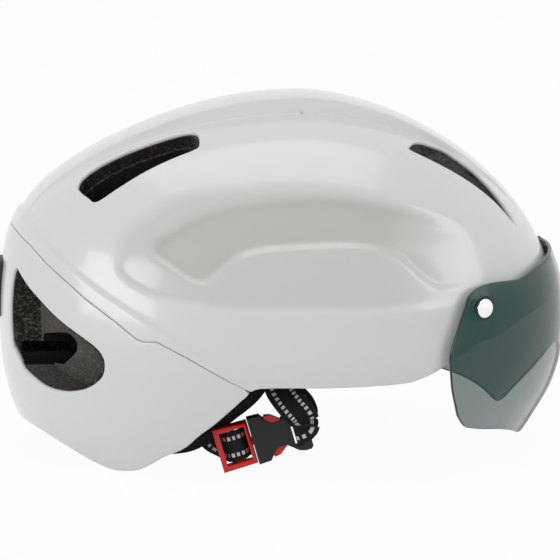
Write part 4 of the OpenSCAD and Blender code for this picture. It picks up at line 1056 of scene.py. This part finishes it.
webbing("buckle_webbing", [
    (-3.4, -outer_y, 4.8), (-3.2, -outer_y, 3.4), (-1.6, -outer_y - 2.6, -1.5), (3, -outer_y - 6.2, -7.5),
    (8, -outer_y - 6.2, -13.5), on_buckle(in_slot + 4.5, -over_bar, 1), on_buckle(in_slot + 1.4, -over_bar, 0),
    on_buckle(in_slot, -over_bar + 1.6, 0), on_buckle(in_slot, over_bar - 1.6, 0),
    on_buckle(in_slot + 1.4, over_bar, 0), on_buckle(in_slot + 5, over_bar + 0.2, 1), (8, -outer_y + 4, -11),
    (3, -outer_y + 2.8, -5)],
    [(1, 0, 0), (1, 0, 0), (1, 0, 0.15), (0.9, 0, 0.5), (0.5, 0, 0.85)] + [across] * 6
    + [(0.5, 0, 0.85), (0.9, 0, 0.5)], white_ticked, "buckle_strap", thick=1.5)
clip_mid = -15.5
webbing("chin_webbing", [
    on_buckle(clip_mid + 7.6, 4.2, 0), on_buckle(clip_mid + 5.2, 3.9, 0), on_buckle(clip_mid + 3.9, 1.4, 0),
    on_buckle(clip_mid + 2.2, -0.4, 0), on_buckle(clip_mid - 2.2, -0.4, 0), on_buckle(clip_mid - 3.9, 1.4, 0),
    on_buckle(clip_mid - 5.2, 3.9, 0), on_buckle(clip_mid - 7, 8.6, 0.8), (-38, -63, -22), (-47, -57, -20.5),
    (-58, -42, -24), (-63, -22, -26), (-64, 0, -27), (-62, 24, -26), (-52, 44, -25), (-40, 56, -23), (-27, 63, -17),
    (-14, 68, -8), (-6.5, 70, -1), (-5, inner_y, 5)],
    [across] * 8 + [(0, 0, 1)] * 8 + [(-0.5, 0, 0.9), (-0.8, 0, 0.6), (-1, 0, 0.3), (-1, 0, 0)], white_ticked,
    "chin_strap", thick=1.5)
for node, width in (("strap_divider_right", 0.8), ("strap_divider_left", 0.8), ("strap_anchors", 0.5)):
    soft_edges(node, width, black_plastic, "helmet")
rubber = Finish("black_rubber", (0.022, 0.022, 0.023), 0.7, Specular_IOR_Level=0.2).vary(
    (0.6, 0.25, 180, 3), (60, 3, (0.016, 0.016, 0.017), (0.034, 0.034, 0.035)), (1800, 2, 0.05, 0.6))
soft_edges("strap_keeper", 0.4, rubber, "helmet")


# Buckle: a black moulded socket with the short strap round its end bar, and a red clip with the long strap round its
# middle bar. The clip's two red prongs are pinched together to let go.
red_plastic = Finish("red_plastic", (0.7, 0.012, 0.012), 0.35, Coat_Weight=0.2).vary(
    (0.28, 0.16, 220, 3), (40, 3, (0.62, 0.006, 0.008), (0.82, 0.012, 0.012)), (2200, 2, 0.02, 0.4))
soft_edges("buckle_socket", 0.7, black_plastic, "helmet")
clip = soft_edges("buckle_clip", 0.9, red_plastic, "helmet", segments=4)
# The frame's bars are fuller than the solid's, as far as the prongs' roots
fuller_by = 0.45
prong_root = clip_mid + 6
steps = [spot.normal * fuller_by * MM * ((spot.co.x / MM - buckle_x) * math.cos(buckle_turn)
                                         + (spot.co.z / MM - buckle_z) * math.sin(buckle_turn) < prong_root)
         for spot in clip.data.vertices]
for spot, step in zip(clip.data.vertices, steps):
    spot.co += step
soft_edges("upper_prong", 0.5, red_plastic, "prong_upper")
soft_edges("lower_prong", 0.5, red_plastic, "prong_lower")


# Size adjuster: black plastic arms on temple pins, a flexible yoke round the nape, and a dial on a pinion that draws
# in two toothed racks.
for node, width, body in (("temple_pins", 0.3, "helmet"), ("right_arm", 0.5, "band"), ("left_arm", 0.5, "band"),
                          ("rear_yoke", 0.4, "yoke"), ("dial_case", 0.6, "yoke"), ("dial_cover", 0.6, "yoke")):
    soft_edges(node, width, black_plastic, body)
soft_edges("dial_knob", 0.5, rubber, "dial")
grey_plastic = Finish("grey_plastic", (0.3, 0.3, 0.3), 0.45).vary(
    (0.4, 0.2, 200, 3), (60, 3, (0.27, 0.27, 0.27), (0.34, 0.34, 0.34)))
refinish(grey_plastic, "dial_pinion", "upper_rack", "lower_rack")


# Rear light: a black case in the pocket of the centre strip, with a red ribbed lens, a rubber push button and a
# rubber cover over the charging port. A board, battery and two diodes lie inside, and a magnet holds the case.
soft_edges("light_case", 0.5, black_plastic, "light")
red_lens = Finish("red_lens", (0.32, 0.006, 0.008), 0.12, Coat_Weight=0.5)
facets = red_lens.cells(420, randomness=0.0, distance="CHEBYCHEV")
red_lens.set("Base Color", red_lens.mix(facets, (0.16, 0.004, 0.005), (0.5, 0.012, 0.014)))
red_lens.set("Alpha", 0.86 + 0.1 * facets)
red_lens.bump(facets, 0.4, 0.8)
soft_edges("light_lens", 0.5, red_lens, "light")
soft_edges("light_button", 0.25, rubber, "button")
refinish(rubber, "light_port_cover")
board_green = Finish("board_green", (0.02, 0.14, 0.05), 0.4)
tracks = board_green.node("ShaderNodeTexBrick", {}, {"Vector": board_green.place(), "Scale": 300,
                                                     "Mortar Size": 0.02})
board_green.set("Base Color", board_green.mix(tracks, (0.01, 0.09, 0.03), (0.04, 0.22, 0.08)))
refinish(board_green, "light_board")
refinish(plated, "light_battery", "light_magnet", "light_seat")
diode = Finish("diode", (0.85, 0.8, 0.55), 0.2, Coat_Weight=0.6).vary(
    tones=(900, 2, (0.8, 0.74, 0.45), (0.9, 0.87, 0.7)))
refinish(diode, "light_leds")


# Pads: black knitted fabric over foam, held to the liner by hook tape. Each starts as a crowned cushion on the wall
# of the head space, is swollen by a cloth simulation and gets its sewn edge after it.
hook_tape = Finish("hook_tape", (0.03, 0.03, 0.03), 0.9)
hooks = hook_tape.cells(1500, randomness=0.2)
hook_tape.set("Base Color", hook_tape.mix(hooks, (0.012, 0.012, 0.013), (0.06, 0.06, 0.06)))
hook_tape.bump(hooks, 0.3, 1)
refinish(hook_tape, "pad_hooks")
pad_fabric = Finish("pad_fabric", (0.025, 0.025, 0.028), 0.85, Sheen_Weight=0.35).vary((0.75, 0.2, 300, 3))
knit = pad_fabric.cells(900, randomness=0.15)
pad_fabric.set("Base Color", pad_fabric.mix(knit, (0.035, 0.035, 0.04), (0.010, 0.010, 0.011)))
pad_fabric.bump(1 - knit, 0.25, 0.9)
seam_thick = 0.7
hook_thick = 2.7


def cushion(name, place_at, full):
    """Closed cushion over a patch of s and w from -1 to 1: its thickness falls to a thin sewn edge all round, as
    the root of 1 - s^4 times the root of 1 - w^4."""
    s, w = np.meshgrid(np.linspace(-1, 1, 40), np.linspace(-1, 1, 16))
    fat = seam_thick + (full - seam_thick) * np.sqrt(np.clip(1 - s**4, 0, 1)) * np.sqrt(np.clip(1 - w**4, 0, 1))
    return sheet_solid(name, place_at(s, w, 0 * s), place_at(s, w, fat), edge=0.2)


def swell(piece):
    """Puffs a closed cushion up: remeshed evenly, blown up as cloth for 20 frames, no point moved further than
    the cap."""
    cap = 0.8
    frames = 20
    net = piece.modifiers.new("net", "REMESH")
    net.mode = "VOXEL"
    net.voxel_size = 2.4 * MM
    piece.data = as_shown(piece)
    piece.modifiers.clear()
    before = spots_of(piece.data)
    cloth = piece.modifiers.new("cloth", "CLOTH")
    cloth.settings.quality = 5
    cloth.settings.mass = 0.15
    cloth.settings.tension_stiffness = 30
    cloth.settings.use_pressure = True
    cloth.settings.uniform_pressure_force = 4
    cloth.settings.effector_weights.gravity = 0
    cloth.point_cache.frame_start = 1
    cloth.point_cache.frame_end = frames
    for frame_number in range(1, frames + 1):
        bpy.context.scene.frame_set(frame_number)
    move = spots_of(as_shown(piece)) - before
    piece.modifiers.clear()
    bpy.context.scene.frame_set(1)
    length = np.linalg.norm(move, axis=1, keepdims=True)
    move = move * np.minimum(1, cap * MM / np.maximum(length, 1e-9))
    piece.data.vertices.foreach_set("co", (before + move).ravel())
    piece.data.polygons.foreach_set("use_smooth", np.ones(len(piece.data.polygons), bool))
    piece.data.update()
    rounder = piece.modifiers.new("rounder", "SUBSURF")
    rounder.levels = 1
    rounder.render_levels = 1
    return piece


def on_wall(bearings, lifts):
    """Places on the wall of the head space: an egg in plan whose radii shrink as the cosine of the lift angle."""
    def place_at(s, w, fat):
        bearing = np.radians((bearings[0] + bearings[1]) / 2 + s * (bearings[1] - bearings[0]) / 2
                             * (1 - 0.05 * w**4))
        lift = (lifts[0] + lifts[1]) / 2 + w * (1 - 0.12 * s**4) * (lifts[1] - lifts[0]) / 2
        deep = hook_thick + fat
        up = np.radians(np.maximum(lift, 0))
        return np.stack([head_x + (head_length - deep) * np.cos(up) * np.cos(bearing),
                         (head_half - deep) * np.cos(up) * np.sin(bearing),
                         head_level + np.where(lift > 0, (head_dome - deep) * np.sin(up), lift)], axis=2)
    return place_at


# The adjuster slopes down about the temple pins, and its yoke is an oval arc in plan
band_tilt = math.radians(17)
pins_x, pins_z = 10, 18
yoke_x = -29
yoke_length = 84
yoke_half = 78.7
yoke_thick = 2.4
nape_pad_turn = 24
nape_pad_half = 8.7


def on_nape(s, w, fat):
    """Places inside the yoke's middle."""
    turn = np.radians(s * nape_pad_turn * (1 - 0.05 * w**4))
    deep = yoke_thick + 0.3 + fat
    x = yoke_x - (yoke_length - deep) * np.cos(turn)
    y = (yoke_half - deep) * np.sin(turn)
    z = w * (1 - 0.15 * s**4) * nape_pad_half
    return np.stack([pins_x + x * math.cos(band_tilt) - z * math.sin(band_tilt), y,
                     pins_z + x * math.sin(band_tilt) + z * math.cos(band_tilt)], axis=2)


for pad_name, place_at, full, body in (
        ("brow_pad", on_wall((-47.5, 47.5), (-1.6, 15.6)), 5.2, "helmet"),
        ("crown_pad_right", on_wall((-133, -47), (52.4, 64.6)), 5.2, "helmet"),
        ("crown_pad_left", on_wall((47, 133), (52.4, 64.6)), 5.2, "helmet"),
        ("side_pad_right", on_wall((-111.4, -66.6), (26.5, 45.5)), 5.2, "helmet"),
        ("side_pad_left", on_wall((66.6, 111.4), (26.5, 45.5)), 5.2, "helmet"),
        ("nape_pad", on_nape, 5.0, "yoke")):
    pad = hand_over(swell(cushion(pad_name + "_cushion", place_at, full)), pad_fabric, body, pad_name)
